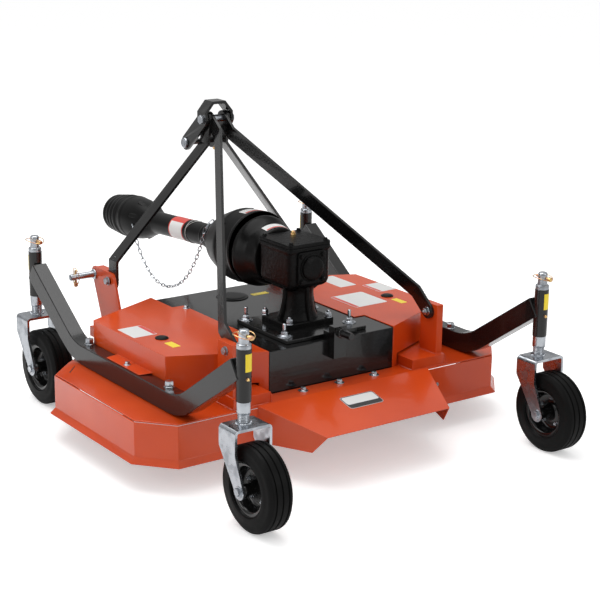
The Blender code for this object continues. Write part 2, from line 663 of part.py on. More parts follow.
def caster(name, side, post):
    """A fork bent from plate, with its stem, spacers and axle bolt, and the wheel in it."""
    place = at(side * RAIL_X, post)
    half = FORK_OUTER / 2
    leg = half - FORK_PLATE / 2
    roof = FORK_TOP - FORK_PLATE / 2
    low = WHEEL_RADIUS - FORK_END_RADIUS - FORK_PLATE
    hoop = [(-leg, low), (-leg, roof - FORK_BEND), (-leg + FORK_BEND, roof), (leg - FORK_BEND, roof),
            (leg, roof - FORK_BEND), (leg, low)]
    fork = flat("caster_fork_" + name, [band(hoop, FORK_PLATE / 2)], FORK_OUTER * 2, place @ REARWARD, ZINC)
    high = FORK_TOP + FORK_PLATE
    side_view = [(FORK_AHEAD, high), (FORK_AHEAD, FORK_STRAIGHT),
                 *arc((-TRAIL, WHEEL_RADIUS), FORK_END_RADIUS, 0.5, -pi - 0.25, 10),
                 (-FORK_BEHIND, FORK_STRAIGHT - 2 * FORK_BEND), (-FORK_BEHIND, high)]
    common(fork, flat("fork_blank_" + name, [side_view], FORK_OUTER * 2, place @ ACROSS))
    seat = FORK_TOP - FORK_PLATE / 3
    shelf = FORK_TOP + FORK_PLATE * 0.75
    edge = STEM_RADIUS / 3
    collar = SLEEVE_RADIUS - LAP / 2
    stem = [(0, STEM_TOP), (STEM_NECK - edge, STEM_TOP), (STEM_NECK, STEM_TOP - edge),
            (STEM_NECK, SLEEVE_TOP + COLLAR_RISE), (collar, SLEEVE_TOP + COLLAR_RISE), (collar, SLEEVE_TOP + SEAT),
            (STEM_RADIUS, SLEEVE_TOP + SEAT), (STEM_RADIUS, SLEEVE_FOOT - SEAT),
            (SPACER_RADIUS, SLEEVE_FOOT - SEAT), (SPACER_RADIUS, BUSH_TOP), (BUSH_RADIUS, BUSH_TOP),
            (BUSH_RADIUS, shelf), (FLANGE_RADIUS, shelf), (FLANGE_RADIUS, seat), (0, seat)]
    stem = turned("stem_" + name, stem, place, steps=16)
    along = at(side * RAIL_X, post - TRAIL, WHEEL_RADIUS) @ ACROSS
    head_radius, head = AXLE_HEAD
    sunk = half - LAP / 2
    axle = round_bar("axle_" + name, AXLE_RADIUS, -sunk, sunk, along)
    ends = [round_bar(f"axle_{tag}_{name}", head_radius, *sorted((way * sunk, way * (half + head))), along, sides=6)
            for tag, way in (("nut", -1), ("head", 1))]
    fuse(fork, stem, axle, *ends)
    wheel(name, along)


def wheel(name, along):
    """The pressed rim with its hub, and the solid rubber tyre, about the axle."""
    seat = RIM_RADIUS - SEAT
    bore = AXLE_RADIUS + RUN
    hub = FORK_OUTER / 2 - FORK_PLATE - LAP / 2
    dish, wall = RIM_WELL
    rim = [(bore, hub), (HUB_RADIUS, hub), (HUB_RADIUS, RIM_DISH), (dish, RIM_DISH - LAP), (wall, RIM_HALF),
           (seat, RIM_HALF), (seat, -RIM_HALF), (wall, -RIM_HALF), (dish, LAP), (HUB_RADIUS, LAP),
           (HUB_RADIUS, -hub), (bore, -hub)]
    turned("wheel_rim_" + name, rim, along, BLACK, steps=WHEEL_STEPS, closed=True)
    half = TYRE_WIDTH / 2
    shoulder = WHEEL_RADIUS - TYRE_SHOULDER
    profile = [(RIM_RADIUS, half), (shoulder, half), (WHEEL_RADIUS, half - TYRE_SHOULDER),
               (WHEEL_RADIUS, -half + TYRE_SHOULDER), (shoulder, -half), (RIM_RADIUS, -half)]
    turned("tyre_" + name, profile, along, RUBBER, steps=WHEEL_STEPS, closed=True)


def gearbox():
    """The casting: base plate, finned column, housing with its lid, input neck, and rear pad with its cap."""
    foot = COVER_TOP + SEAT
    box("gearbox_plate", (-PLATE_HALF, GEARBOX_Y - PLATE_BACK, foot),
        (PLATE_HALF, GEARBOX_Y + PLATE_AHEAD, foot + PLATE_THICK), BLACK)
    seat = foot + PLATE_THICK + SEAT
    base_x, base_y = BASE_HALF
    top = seat + BASE_THICK
    rear = GEARBOX_Y - HOUSING_BACK
    front = GEARBOX_Y + HOUSING_AHEAD
    base = box("gearbox_housing", (-base_x, GEARBOX_Y - base_y, seat), (base_x, GEARBOX_Y + base_y, top), CAST)
    low = top - LAP
    high = COLUMN_TOP + HOUSING_EDGE
    column = [(0, high), (COLUMN[0][0], high)]
    column += [(radius, low + (COLUMN_TOP - low) * share) for radius, share in COLUMN]
    column = turned("gearbox_column", [*column, (0, low)], at(y=GEARBOX_Y))
    body = box("gearbox_body", (-HOUSING_HALF, rear, COLUMN_TOP), (HOUSING_HALF, front, HOUSING_TOP))
    bevel(body, HOUSING_EDGE, 2)
    lid_half = HOUSING_HALF - LID_INSET
    lid = box("gearbox_lid", (-lid_half, rear + LID_INSET, HOUSING_TOP - LAP),
              (lid_half, front - LID_INSET, HOUSING_TOP + LID_THICK))
    pad_half, pad_rise = PAD
    pad = box("gearbox_pad", (-pad_half, rear - pad_rise, INPUT_Z - pad_half),
              (pad_half, rear + HOUSING_EDGE, INPUT_Z + pad_half))
    cap_radius, cap_rise = REAR_CAP
    crown = pad_rise + cap_rise
    dome = [(0, crown), (cap_radius * 0.5, crown - LAP), (cap_radius * 0.85, crown - 3 * LAP),
            (cap_radius, pad_rise + LAP), (cap_radius, pad_rise - LAP), (0, pad_rise - LAP)]
    dome = turned("gearbox_rear_cap", dome, at(y=rear, z=INPUT_Z) @ REARWARD, steps=20)
    neck_radius, neck_length = NECK
    neck = round_bar("gearbox_neck", neck_radius, -HOUSING_EDGE, neck_length, at(y=front, z=INPUT_Z) @ FORWARD,
                     sides=20)
    fin_foot, fin_top = FIN_HALF
    outline = [(-fin_foot, low), (fin_foot, low), (fin_top, high), (-fin_top, high)]
    fins = [flat(f"gearbox_fin_{i}", [outline], FIN_THICK, at(y=GEARBOX_Y) @ frame)
            for i, frame in enumerate((REARWARD, ACROSS))]
    return fuse(base, column, body, lid, pad, dome, neck, *fins)


def driveline_frame():
    """z runs along the drooping driveline, from its universal joint forwards, and x to the mower's right."""
    joint = GEARBOX_Y + HOUSING_AHEAD + JOINT_AHEAD
    return at(0, joint, INPUT_Z) @ Matrix.Rotation(-DROOP, 4, "X") @ FORWARD


def input_shield():
    """The stepped cup bolted on the gearbox's neck, round the driveline's joint."""
    seat = GEARBOX_Y + HOUSING_AHEAD + NECK[1] + SEAT
    wall = GUARD_WALL
    band_radius, band_length = SHIELD_BAND
    mouth_radius, mouth_start, mouth_end = SHIELD_MOUTH
    profile = [(mouth_radius, mouth_end), (mouth_radius, mouth_start), (band_radius, band_length),
               (SHIELD_FACE, 0), (SHIELD_HOLE, 0), (SHIELD_HOLE, wall), (SHIELD_FACE - wall, wall),
               (band_radius - wall, band_length), (mouth_radius - wall, mouth_start),
               (mouth_radius - wall, mouth_end)]
    turned("input_shield", profile, at(y=seat, z=INPUT_Z) @ FORWARD, PLASTIC, closed=True)


def rear_guard(frame):
    """The big bell and cone over the joint, and the inner guard tube, which rides on the shaft."""
    wall = GUARD_WALL
    tube = GUARD_TUBE_RADIUS - wall - RUN
    bore = SHAFT_RADIUS + RUN
    bearing = CONE_END - GUARD_BEARING
    cone = list(reversed(BELL_CONE))
    outer = [(tube, INNER_GUARD_END), (tube, CONE_END), (GUARD_COLLAR, CONE_END), *cone, (BELL_RADIUS, BELL_FRONT),
             (BELL_RADIUS, BELL_REAR)]
    inner = [(radius - wall, place - wall / 2) for radius, place in BELL_CONE]
    profile = [*outer, (BELL_RADIUS - wall, BELL_REAR), (BELL_RADIUS - wall, BELL_FRONT - wall / 2), *inner[:-1],
               (GUARD_COLLAR - wall, bearing - wall), (bore, bearing - wall), (bore, bearing), (tube - wall, bearing),
               (tube - wall, INNER_GUARD_END)]
    turned("driveline_guard_rear", profile, frame, PLASTIC, closed=True)


def front_guard(frame):
    """The outer guard tube, which slides on the inner one, and the ribbed bell round the front yoke."""
    wall = GUARD_WALL
    tube = GUARD_TUBE_RADIUS
    rear = CONE_END + 2 * wall
    hole = YOKE_TUBE_RADIUS + RUN
    radius, place, narrowing, pitch, depth = FRONT_BELL_RIB
    ribs = [(FRONT_BELL_LIP, FRONT_BELL_END)]
    for i in reversed(range(FRONT_BELL_RIBS)):
        crest = radius - narrowing * i
        ribs += [(crest - depth, place + pitch * (i + 0.6)), (crest, place + pitch * i)]
    band_radius, band_place = FRONT_BELL_BAND
    ribs += [(radius - depth, place - pitch / 2), (band_radius, band_place + pitch / 3), (band_radius, band_place)]
    inside = band_radius - 2 * wall
    bearing = FRONT_BELL_REAR - GUARD_BEARING
    dome = [(r - wall, s) for r, s in reversed(FRONT_BELL_DOME)]
    profile = [*ribs, *FRONT_BELL_DOME, (tube, FRONT_BELL_REAR), (tube, rear), (tube - wall, rear),
               (tube - wall, bearing - wall), (hole, bearing - wall), (hole, bearing), (tube - wall, bearing), *dome,
               (inside, band_place), (inside, place), (FRONT_BELL_LIP - wall, FRONT_BELL_END)]
    turned("driveline_guard_front", profile, frame, PLASTIC, closed=True)


def rear_shaft(frame):
    """The inner drive shaft with its hub and the stub that enters the gearbox."""
    seat = GEARBOX_Y + HOUSING_AHEAD + NECK[1] + SEAT
    joint = GEARBOX_Y + HOUSING_AHEAD + JOINT_AHEAD
    stub_end = (seat - joint + SHAFT_STUB * sin(DROOP)) / cos(DROOP)
    hub, hub_end = SHAFT_HUB
    taper = hub_end + hub - SHAFT_RADIUS
    profile = [(0, SHAFT_END), (SHAFT_RADIUS, SHAFT_END), (SHAFT_RADIUS, taper), (hub, hub_end), (hub, -hub),
               (SHAFT_STUB, SHAFT_STUB - 2 * hub), (SHAFT_STUB, stub_end), (0, stub_end)]
    turned("driveline_shaft_rear", profile, frame, STEEL, steps=16)


def front_yoke(frame):
    """The outer shaft tube and the joint at its end: two ears, the cross between them, and the splined hub."""
    bore = SHAFT_RADIUS + RUN
    socket, socket_rear = YOKE_SOCKET
    step = socket - YOKE_TUBE_RADIUS
    foot = YOKE_FOOT + LAP
    blind = socket_rear - 4 * step
    tube = [(0, foot), (socket, foot), (socket, socket_rear), (YOKE_TUBE_RADIUS, socket_rear - step),
            (YOKE_TUBE_RADIUS, YOKE_TUBE_REAR), (bore, YOKE_TUBE_REAR), (bore, blind), (0, blind)]
    yoke = turned("driveline_yoke", tube, frame, STEEL, steps=16)
    ear_thick, ear_length = YOKE_EAR
    wide = YOKE_WIDE / 2
    hub_radius, hub_length = YOKE_HUB
    cross_radius, cross_place = CROSS
    base = frame @ at(z=YOKE_FOOT)
    bridge = box("yoke_bridge", (-YOKE_HALF, -wide, 0), (YOKE_HALF, wide, YOKE_BRIDGE))
    ears = [box(f"yoke_ear_{end}", (min(end * YOKE_HALF, end * (YOKE_HALF - ear_thick)), -wide, 0),
                (max(end * YOKE_HALF, end * (YOKE_HALF - ear_thick)), wide, ear_length)) for end in (-1, 1)]
    for piece in (bridge, *ears):
        piece.matrix_world = base @ piece.matrix_world
    sunk = YOKE_HALF - ear_thick / 2
    cross = round_bar("yoke_cross", cross_radius, -sunk, sunk, base @ at(z=cross_place) @ ACROSS, sides=12)
    neck = round_bar("yoke_neck", hub_radius - 3 * LAP, cross_place, ear_length + LAP, base)
    hub = round_bar("yoke_hub", hub_radius, ear_length, ear_length + hub_length, base)
    bore = round_bar("yoke_bore", PTO_BORE, ear_length, ear_length + hub_length + OVERRUN, base)
    return cut(fuse(yoke, bridge, *ears, cross, neck, hub), bore)


def chain_route(frame):
    """Points down the cone's left side and along a hanging curve to the front bell."""
    place, radius = CHAIN_HOOK
    reach = radius + CHAIN_HALF + CHAIN_WIRE
    down = [frame @ Vector((x, -y, place)) for x, y in arc((0, 0), reach, *CHAIN_ROUND, 12)]
    foot = Vector(CHAIN_FOOT)
    hang = []
    for i in range(1, 241):
        t = i / 240
        drop = CHAIN_SAG * (cosh(CHAIN_CURVE) - cosh(CHAIN_CURVE * (2 * t - 1))) / (cosh(CHAIN_CURVE) - 1)
        hang.append(down[-1].lerp(foot, t) - Vector((0, 0, drop)))
    return down + hang


def chain(frame):
    """A run of square knots, each a turned oval link apart, hooked on the cone's top.

    Two strands leave a knot by opposite sides, bow out round the link's hole and meet again at the next knot.
    """
    route = chain_route(frame)
    lengths = [0.0]
    for before, after in zip(route, route[1:]):
        lengths.append(lengths[-1] + (after - before).length)
    count = int(lengths[-1] / CHAIN_PITCH)
    half = CHAIN_WIRE / 2
    knots = []
    for i in range(count + 1):
        k = next((n for n, length in enumerate(lengths) if length > i * CHAIN_PITCH), len(lengths) - 1)
        along = (route[k] - route[k - 1]).normalized()
        level = along.cross(Vector((1, 0, 0))).normalized()
        sides = (level + along.cross(level)).normalized(), (along.cross(level) - level).normalized()
        knots.append((route[k - 1] + along * (i * CHAIN_PITCH - lengths[k - 1]), along, sides))
    points, faces = [], []
    for center, along, sides in knots:
        for u in (-half, half):
            for v, w in ((-half, -half), (half, -half), (half, half), (-half, half)):
                points.append(center + along * u + sides[0] * v + sides[1] * w)
    walls = {(0, 1): (1, 2, 6, 5), (0, -1): (3, 0, 4, 7), (1, 1): (2, 3, 7, 6), (1, -1): (0, 1, 5, 4)}
    for i in range(count):
        (here, along, sides), (there, _, _) = knots[i], knots[i + 1]
        middle = (here + there) / 2
        plane = i % 2
        for way in (1, -1):
            bottom, top = [[8 * (i + n) + k for k in walls[plane, way]] for n in (0, 1)]
            first = len(points)
            flank = way * (1 if plane == 0 else -1)
            out, across = sides[plane] * way, sides[1 - plane] * flank
            for u in (-CHAIN_BOW, CHAIN_BOW):
                for v, w in ((half, -half), (half, half), (-half, half), (-half, -half)):
                    points.append(middle + along * u + out * (CHAIN_HALF + v) + across * w)
            rings = [bottom, [first + n for n in range(4)], [first + 4 + n for n in range(4)],
                     [top[3], top[2], top[1], top[0]]]
            for ring, beyond in zip(rings, rings[1:]):
                faces += [(ring[n], ring[(n + 1) % 4], beyond[(n + 1) % 4], beyond[n]) for n in range(4)]
    for i in range(count + 1):
        faces += [tuple(8 * i + k for k in (3, 2, 1, 0)), tuple(8 * i + k for k in (4, 5, 6, 7))]
    for knot, plane in ((0, 1), (count, count % 2)):
        faces += [tuple(8 * knot + k for k in walls[plane, way]) for way in (1, -1)]
    mesh = bpy.data.meshes.new("guard_chain")
    mesh.from_pydata(points, [], faces)
    body = add("guard_chain", mesh, UPRIGHT, STEEL)
    hook_place, radius = CHAIN_HOOK
    hook_angle = CHAIN_ROUND[0]
    outward = Vector((cos(hook_angle), -sin(hook_angle), 0))
    tilt = outward.to_track_quat("Z", "Y").to_matrix().to_4x4()
    surface = radius * cos(pi / TURN_STEPS) + SEAT
    hook = round_bar("guard_chain_hook", CHAIN_WIRE / 2, surface, surface + 2 * CHAIN_HALF + CHAIN_WIRE,
                     frame @ at(z=hook_place) @ tilt, sides=8)
    return fuse(body, hook)


def driveline():
    frame = driveline_frame()
    input_shield()
    rear_guard(frame)
    front_guard(frame)
    rear_shaft(frame)
    front_yoke(frame)
    chain(frame)


def mast():
    """Two struts from the hitch brackets and two braces from the rear posts, bolted together at the head."""
    bolt_y, bolt_z = MAST_BOLT
    strut_x = HITCH_SPREAD / 2 - COLLAR[1] - BRACKET_THICK - SEAT - BAR_THICK / 2
    strut_head = BRACE_HEAD + BAR_THICK + 2 * SEAT
    brace_x = POST_INNER - SEAT - BAR_THICK / 2
    foot = Vector((0, *BRACE_FOOT))
    along = Vector((0, *MAST_BOLT)) - foot
    length = along.length
    along.normalize()
    across = Vector((1, 0, 0))
    slanted = Matrix.Translation(foot) @ Matrix((across, along, across.cross(along))).transposed().to_4x4()
    for name, side in SIDES:
        fold_z = STRUT_FOLD[1]
        path = [(strut_x, STRUT_FOOT[1] - BAR_WIDTH), (strut_x, fold_z), (strut_head, STRUT_HEAD),
                (strut_head, bolt_z + BAR_WIDTH)]
        bar("mast_strut_" + name, side, path, REARWARD, [(STRUT_FOLD[0], STRUT_FOOT[1]), STRUT_FOLD, MAST_BOLT],
            (STRUT_FOOT, MAST_BOLT))
        first, second = BRACE_BENDS
        path = [(brace_x, -BAR_WIDTH), (brace_x, first), (BRACE_HEAD, second), (BRACE_HEAD, length + BAR_WIDTH)]
        bar("mast_brace_" + name, side, path, slanted, [BRACE_FOOT, MAST_BOLT], (BRACE_FOOT, MAST_BOLT))
        hitch_pin(name, side)
    mast_bolt(strut_head + BAR_THICK / 2 + SEAT)
    clevis()


def bar(name, side, path, frame, side_view, bolts):
    """A flat bar bent along the path in its frame, trimmed to its side view, with a hole for each bolt."""
    body = flat(name, [band([(side * x, v) for x, v in path], BAR_THICK / 2)], 8 * BAR_WIDTH, frame, BLACK)
    if frame is REARWARD:
        body.matrix_world = at(y=STRUT_FOLD[0]) @ frame
    blank = flat(name + "_side", [strap(side_view, BAR_WIDTH / 2)], HITCH_SPREAD * 2, ACROSS)
    holes = [round_bar(f"{name}_hole_{i}", MAST_BOLT_RADIUS + RUN, -HITCH_SPREAD, HITCH_SPREAD, at(0, *bolt) @ ACROSS)
             for i, bolt in enumerate(bolts)]
    return cut(common(body, blank), *holes)


def mast_bolt(strut_face):
    """The bolt through struts, braces and clevis, with the spacers that fill the gaps on it."""
    along = at(0, *MAST_BOLT) @ ACROSS
    outer = CLEVIS_X + CLEVIS_PLATE / 2 + SEAT
    head_radius, head = MAST_HEAD
    bolt = round_bar("mast_bolt", MAST_BOLT_RADIUS, -outer - LAP / 2, outer + LAP / 2, along, ZINC)
    ends = [round_bar(f"mast_bolt_end_{way}", head_radius, *sorted((way * outer, way * (outer + head))), along, sides=6)
            for way in (-1, 1)]
    inner = CLEVIS_X - CLEVIS_PLATE / 2 - SEAT
    spacers = [round_bar(f"mast_spacer_{way}", MAST_SPACER, *sorted((way * strut_face, way * inner)), along, sides=12)
               for way in (-1, 1)]
    middle = BRACE_HEAD - BAR_THICK / 2 - SEAT
    spacers.append(round_bar("mast_spacer_middle", MAST_SPACER, -middle, middle, along, sides=12))
    return fuse(bolt, *ends, *spacers)


def hitch_pin(name, side):
    """The lower hitch pin, its collar against the bracket and its nut behind it."""
    shoulder = HITCH_SPREAD / 2
    way = ACROSS if side > 0 else Matrix.Rotation(pi, 4, "Z") @ ACROSS
    collar, collar_thick = COLLAR
    nut, nut_height, thread = PIN_NUT
    inner = shoulder - collar_thick - BRACKET_THICK
    tip = shoulder + HITCH_PIN_LENGTH
    edge = HITCH_PIN_RADIUS / 3
    radius = HITCH_PIN_RADIUS
    profile = [(0, tip), (radius - edge, tip), (radius, tip - edge), (radius, shoulder), (collar, shoulder),
               (collar, shoulder - collar_thick + SEAT), (radius, shoulder - collar_thick + SEAT),
               (radius, inner - SEAT), (nut, inner - SEAT), (nut, inner - nut_height),
               (radius - LAP, inner - nut_height), (radius - LAP, inner - nut_height - thread),
               (0, inner - nut_height - thread)]
    return turned("hitch_pin_" + name, profile, at(0, *HITCH_PIN) @ way, ZINC, steps=16)


def clevis():
    """The swinging top-link strap: two legs from the mast bolt to the top-link pin, closed by a hat."""
    bolt_y, bolt_z = MAST_BOLT
    hole = circle(MAST_BOLT, MAST_BOLT_RADIUS + RUN, 16)
    legs = [flat(f"clevis_leg_{way}", [strap([MAST_BOLT, TOP_PIN], CLEVIS_HALF), hole], CLEVIS_PLATE,
                 at(x=way * CLEVIS_X) @ ACROSS) for way in (-1, 1)]
    half_hat = [(-CLEVIS_X, bolt_z + LAP), (-CLEVIS_X, bolt_z + HAT_SHOULDER), (-HAT_HALF, bolt_z + HAT_RISE)]
    rear, front = HAT_ENDS
    hat = flat("top_link_clevis", [band(half_hat + mirror(half_hat), CLEVIS_PLATE / 2)], front - rear,
               at(y=bolt_y + (rear + front) / 2) @ REARWARD, BLACK)
    along = at(0, *TOP_PIN) @ ACROSS
    face = CLEVIS_X + CLEVIS_PLATE / 2
    head_radius, head = TOP_PIN_HEAD
    pin = round_bar("top_link_pin", TOP_PIN_RADIUS, -face - LAP / 2, face + 6 * LAP, along)
    head = round_bar("top_link_pin_head", head_radius, -face - head, -face + LAP / 2, along)
    bore = round_bar("clevis_bore", MAST_BOLT_RADIUS + RUN, -OVERRUN, OVERRUN, at(0, *MAST_BOLT) @ ACROSS)
    return cut(fuse(hat, *legs, pin, head), bore)


def tensioner():
    """The belt-tension bracket hooked over the centre cover's rear edge, with its long adjusting bolt."""
    edge = CENTER_REAR - SEAT
    deck = COVER_TOP + SEAT
    left, right, depth, foot = LUG
    arm_reach, arm_thick, arm_height = LUG_ARM
    ridge_end, ridge_place, ridge_height = RIDGE
    rod_radius, rod_length = TENSION_ROD
    nut_radius, nut_height = TENSION_NUT
    lug = box("belt_tensioner", (left, edge - depth, foot), (right, edge, LUG_TOP), BLACK)
    arm = box("tensioner_arm", (left, edge - depth / 2, deck), (left + arm_thick, edge + arm_reach, deck + arm_height))
    ridge = box("tensioner_ridge", (left, edge + ridge_place, deck),
                (ridge_end, edge + ridge_place + arm_thick / 2, deck + ridge_height))
    axis = at((left + right) / 2 + LAP, edge - depth, LUG_TOP - nut_radius - LAP) @ REARWARD
    rod = round_bar("tensioner_rod", rod_radius, -LAP, rod_length, axis, sides=12)
    nut = round_bar("tensioner_nut", nut_radius, -LAP, nut_height, axis, sides=6)
    return fuse(lug, arm, ridge, rod, nut)


def main():
    deck()
    chute()
    for name, side in SIDES:
        hitch_rail(name, side)
        wheel_rail(name, side)
    covers()
    for name, _, place in spindles():
        spindle(name, place)
    for name, side, post in CASTERS:
        caster(name, side, post)
    gearbox()
    driveline()
    mast()
    tensioner()


main()
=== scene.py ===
"""Looks of the three-blade finishing mower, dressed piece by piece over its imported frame."""

import json
from math import cos, radians, sin

import bmesh
import bpy
import numpy as np
from mathutils import Matrix, Vector

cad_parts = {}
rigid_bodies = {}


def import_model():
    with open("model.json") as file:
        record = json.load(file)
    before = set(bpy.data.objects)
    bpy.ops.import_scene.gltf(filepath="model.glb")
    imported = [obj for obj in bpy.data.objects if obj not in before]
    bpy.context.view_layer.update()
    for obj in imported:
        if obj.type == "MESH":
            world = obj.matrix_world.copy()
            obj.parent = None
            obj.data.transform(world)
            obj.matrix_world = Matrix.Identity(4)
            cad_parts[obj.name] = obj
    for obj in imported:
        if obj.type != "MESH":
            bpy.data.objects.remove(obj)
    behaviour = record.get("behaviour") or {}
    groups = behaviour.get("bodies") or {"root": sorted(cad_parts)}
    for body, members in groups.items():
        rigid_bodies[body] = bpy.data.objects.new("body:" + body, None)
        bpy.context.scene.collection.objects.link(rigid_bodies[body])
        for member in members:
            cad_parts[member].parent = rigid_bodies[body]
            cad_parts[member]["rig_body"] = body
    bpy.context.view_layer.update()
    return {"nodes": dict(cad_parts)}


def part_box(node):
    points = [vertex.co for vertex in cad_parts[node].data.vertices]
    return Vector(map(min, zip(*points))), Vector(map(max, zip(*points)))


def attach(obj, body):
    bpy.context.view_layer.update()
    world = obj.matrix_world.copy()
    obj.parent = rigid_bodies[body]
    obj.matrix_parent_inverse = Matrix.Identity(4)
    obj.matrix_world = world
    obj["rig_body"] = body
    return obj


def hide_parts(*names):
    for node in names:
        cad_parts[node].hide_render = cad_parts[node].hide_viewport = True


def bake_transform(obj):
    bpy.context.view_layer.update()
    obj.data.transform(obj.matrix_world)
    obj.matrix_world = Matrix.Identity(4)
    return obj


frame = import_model()


# Camera: a studio lens at the photograph's angle, seen from the mower's rear left and a little above.
# Nothing here belongs to the object.
CAMERA_PLACE = (-2.830, -4.170, 1.827)
CAMERA_AZIMUTH = radians(-36.148)
CAMERA_ELEVATION = radians(16.052)
CAMERA_ROLL = radians(0.996)
back = Vector((sin(CAMERA_AZIMUTH) * cos(CAMERA_ELEVATION), -cos(CAMERA_AZIMUTH) * cos(CAMERA_ELEVATION),
               sin(CAMERA_ELEVATION)))
level = Vector((cos(CAMERA_AZIMUTH), sin(CAMERA_AZIMUTH), 0))
upright = back.cross(level)
right = level * cos(CAMERA_ROLL) + upright * sin(CAMERA_ROLL)
up = upright * cos(CAMERA_ROLL) - level * sin(CAMERA_ROLL)
lens = bpy.data.cameras.new("camera")
lens.lens = 94.58
lens.sensor_width = 36.0
lens.shift_x = -0.0188
lens.shift_y = 0.0019
camera = bpy.data.objects.new("camera", lens)
bpy.context.scene.collection.objects.link(camera)
camera.matrix_world = Matrix.Translation(CAMERA_PLACE) @ Matrix((right, up, back)).transposed().to_4x4()
bpy.context.scene.camera = camera


# Studio: a white floor and backdrop, in a room that is darker near the ground than at its ceiling.
# Wide soft lamps hang above and beside, and the colours are shown as they are, without a film's curve.
def grid(rows, around=False, along=False):
    """Rows of points (m, n, 3) and the faces between neighbours.

    around joins the ends of each row, and along joins the last row to the first.
    """
    count, width = rows.shape[:2]
    index = np.arange(count * width).reshape(count, width)
    if around:
        index = np.concatenate((index, index[:, :1]), 1)
    if along:
        index = np.concatenate((index, index[:1]), 0)
    faces = np.stack((index[:-1, :-1], index[:-1, 1:], index[1:, 1:], index[1:, :-1]), -1)
    return rows.reshape(-1, 3), faces.reshape(-1, 4)


class Wire:
    """A shader socket in an expression, where +, - and * add their Math nodes."""

    def __init__(self, finish, socket):
        self.finish = finish
        self.socket = socket

    def __add__(self, other):
        return self.finish.maths("ADD", self, other)

    def __sub__(self, other):
        return self.finish.maths("SUBTRACT", self, other)

    def __rsub__(self, other):
        return self.finish.maths("SUBTRACT", other, self)

    def __mul__(self, other):
        return self.finish.maths("MULTIPLY", self, other)

    __radd__ = __add__
    __rmul__ = __mul__


class Finish:
    """A material in the making. Colours are linear, and constant values sit on the shader's sockets."""

    def __init__(self, name, color, roughness, metallic=0.0, **fixed):
        self.material = bpy.data.materials.new(name)
        self.material.use_nodes = True
        self.tree = self.material.node_tree
        self.shader = self.tree.nodes["Principled BSDF"]
        self.set("Base Color", (*color, 1.0))
        self.set("Roughness", roughness)
        self.set("Metallic", metallic)
        for socket, value in fixed.items():
            self.set(socket.replace("_", " "), value)
        self.place = self.node("ShaderNodeTexCoord", {}, {}, "Object")

    def set(self, socket, value):
        self.feed(self.shader.inputs[socket], value)

    def feed(self, socket, value):
        if isinstance(value, Wire):
            self.tree.links.new(value.socket, socket)
        else:
            socket.default_value = value

    def node(self, kind, settings, sockets, output=0):
        made = self.tree.nodes.new(kind)
        for name, value in settings.items():
            setattr(made, name, value)
        for key, value in sockets.items():
            self.feed(made.inputs[key], value)
        return Wire(self, made.outputs[output])

    def maths(self, operation, *values):
        return self.node("ShaderNodeMath", {"operation": operation}, dict(enumerate(values)))

    def noise(self, scale, detail=2.0):
        return self.node("ShaderNodeTexNoise", {}, {"Vector": self.place, "Scale": scale, "Detail": detail})

    def mask(self, value, low, high):
        """0 below low and 1 above high, with a smooth rise between."""
        return self.node("ShaderNodeMapRange", {"interpolation_type": "SMOOTHSTEP"},
                         {"Value": value, "From Min": low, "From Max": high})

    def mix(self, factor, first, second):
        colors = [value if isinstance(value, Wire) else (*value, 1.0) for value in (first, second)]
        return self.node("ShaderNodeMix", {"data_type": "RGBA"}, {0: factor, 6: colors[0], 7: colors[1]}, 2)

    def bump(self, height, distance, strength=1.0):
        self.set("Normal", self.node("ShaderNodeBump", {}, {"Height": height, "Distance": distance,
                                                            "Strength": strength}))


def meshed(name, shapes, finish, sharp=35.0):
    """One mesh from (points, faces) shapes: doubles merged, faces turned outwards and curves smooth."""
    points, faces, first = [], [], 0
    for shape_points, shape_faces in shapes:
        points.append(shape_points)
        faces.append(shape_faces + first)
        first += len(shape_points)
    mesh = bpy.data.meshes.new(name)
    mesh.from_pydata(np.concatenate(points).tolist(), [], np.concatenate(faces).tolist())
    work = bmesh.new()
    work.from_mesh(mesh)
    bmesh.ops.remove_doubles(work, verts=work.verts, dist=2e-6)
    bmesh.ops.recalc_face_normals(work, faces=work.faces)
    work.to_mesh(mesh)
    work.free()
    mesh.shade_smooth()
    mesh.set_sharp_from_angle(angle=radians(sharp))
    mesh.materials.append(finish.material)
    piece = bpy.data.objects.new(name, mesh)
    bpy.context.scene.collection.objects.link(piece)
    return piece


FLOOR = 40.0
WALL_LIGHT = 0.38
CEILING_LIGHT = 1.05
studio_white = Finish("studio_white", (0.93, 0.93, 0.93), 0.55, Emission_Strength=0.4)
studio_white.set("Emission Color", studio_white.node("ShaderNodeLightPath", {}, {}))
corners = np.array([[(x, y, 0.0) for x in (-FLOOR, FLOOR)] for y in (-FLOOR, FLOOR)])
meshed("floor", [grid(corners)], studio_white)
world = bpy.data.worlds.new("studio")
world.use_nodes = True
room, wires = world.node_tree.nodes, world.node_tree.links
backdrop = room["Background"]
backdrop.inputs["Color"].default_value = (1.0, 1.0, 1.0, 1.0)
walls, split, rise, ray, seen = [room.new("ShaderNode" + kind) for kind in
                                 ("Background", "SeparateXYZ", "MapRange", "LightPath", "MixShader")]
rise.inputs["To Min"].default_value = WALL_LIGHT
rise.inputs["To Max"].default_value = CEILING_LIGHT
wires.new(room.new("ShaderNodeTexCoord").outputs["Generated"], split.inputs[0])
wires.new(split.outputs["Z"], rise.inputs["Value"])
wires.new(rise.outputs[0], walls.inputs["Strength"])
wires.new(ray.outputs["Is Camera Ray"], seen.inputs[0])
wires.new(walls.outputs[0], seen.inputs[1])
wires.new(backdrop.outputs[0], seen.inputs[2])
wires.new(seen.outputs[0], room["World Output"].inputs["Surface"])
bpy.context.scene.world = world
bpy.context.scene.view_settings.view_transform = "Standard"
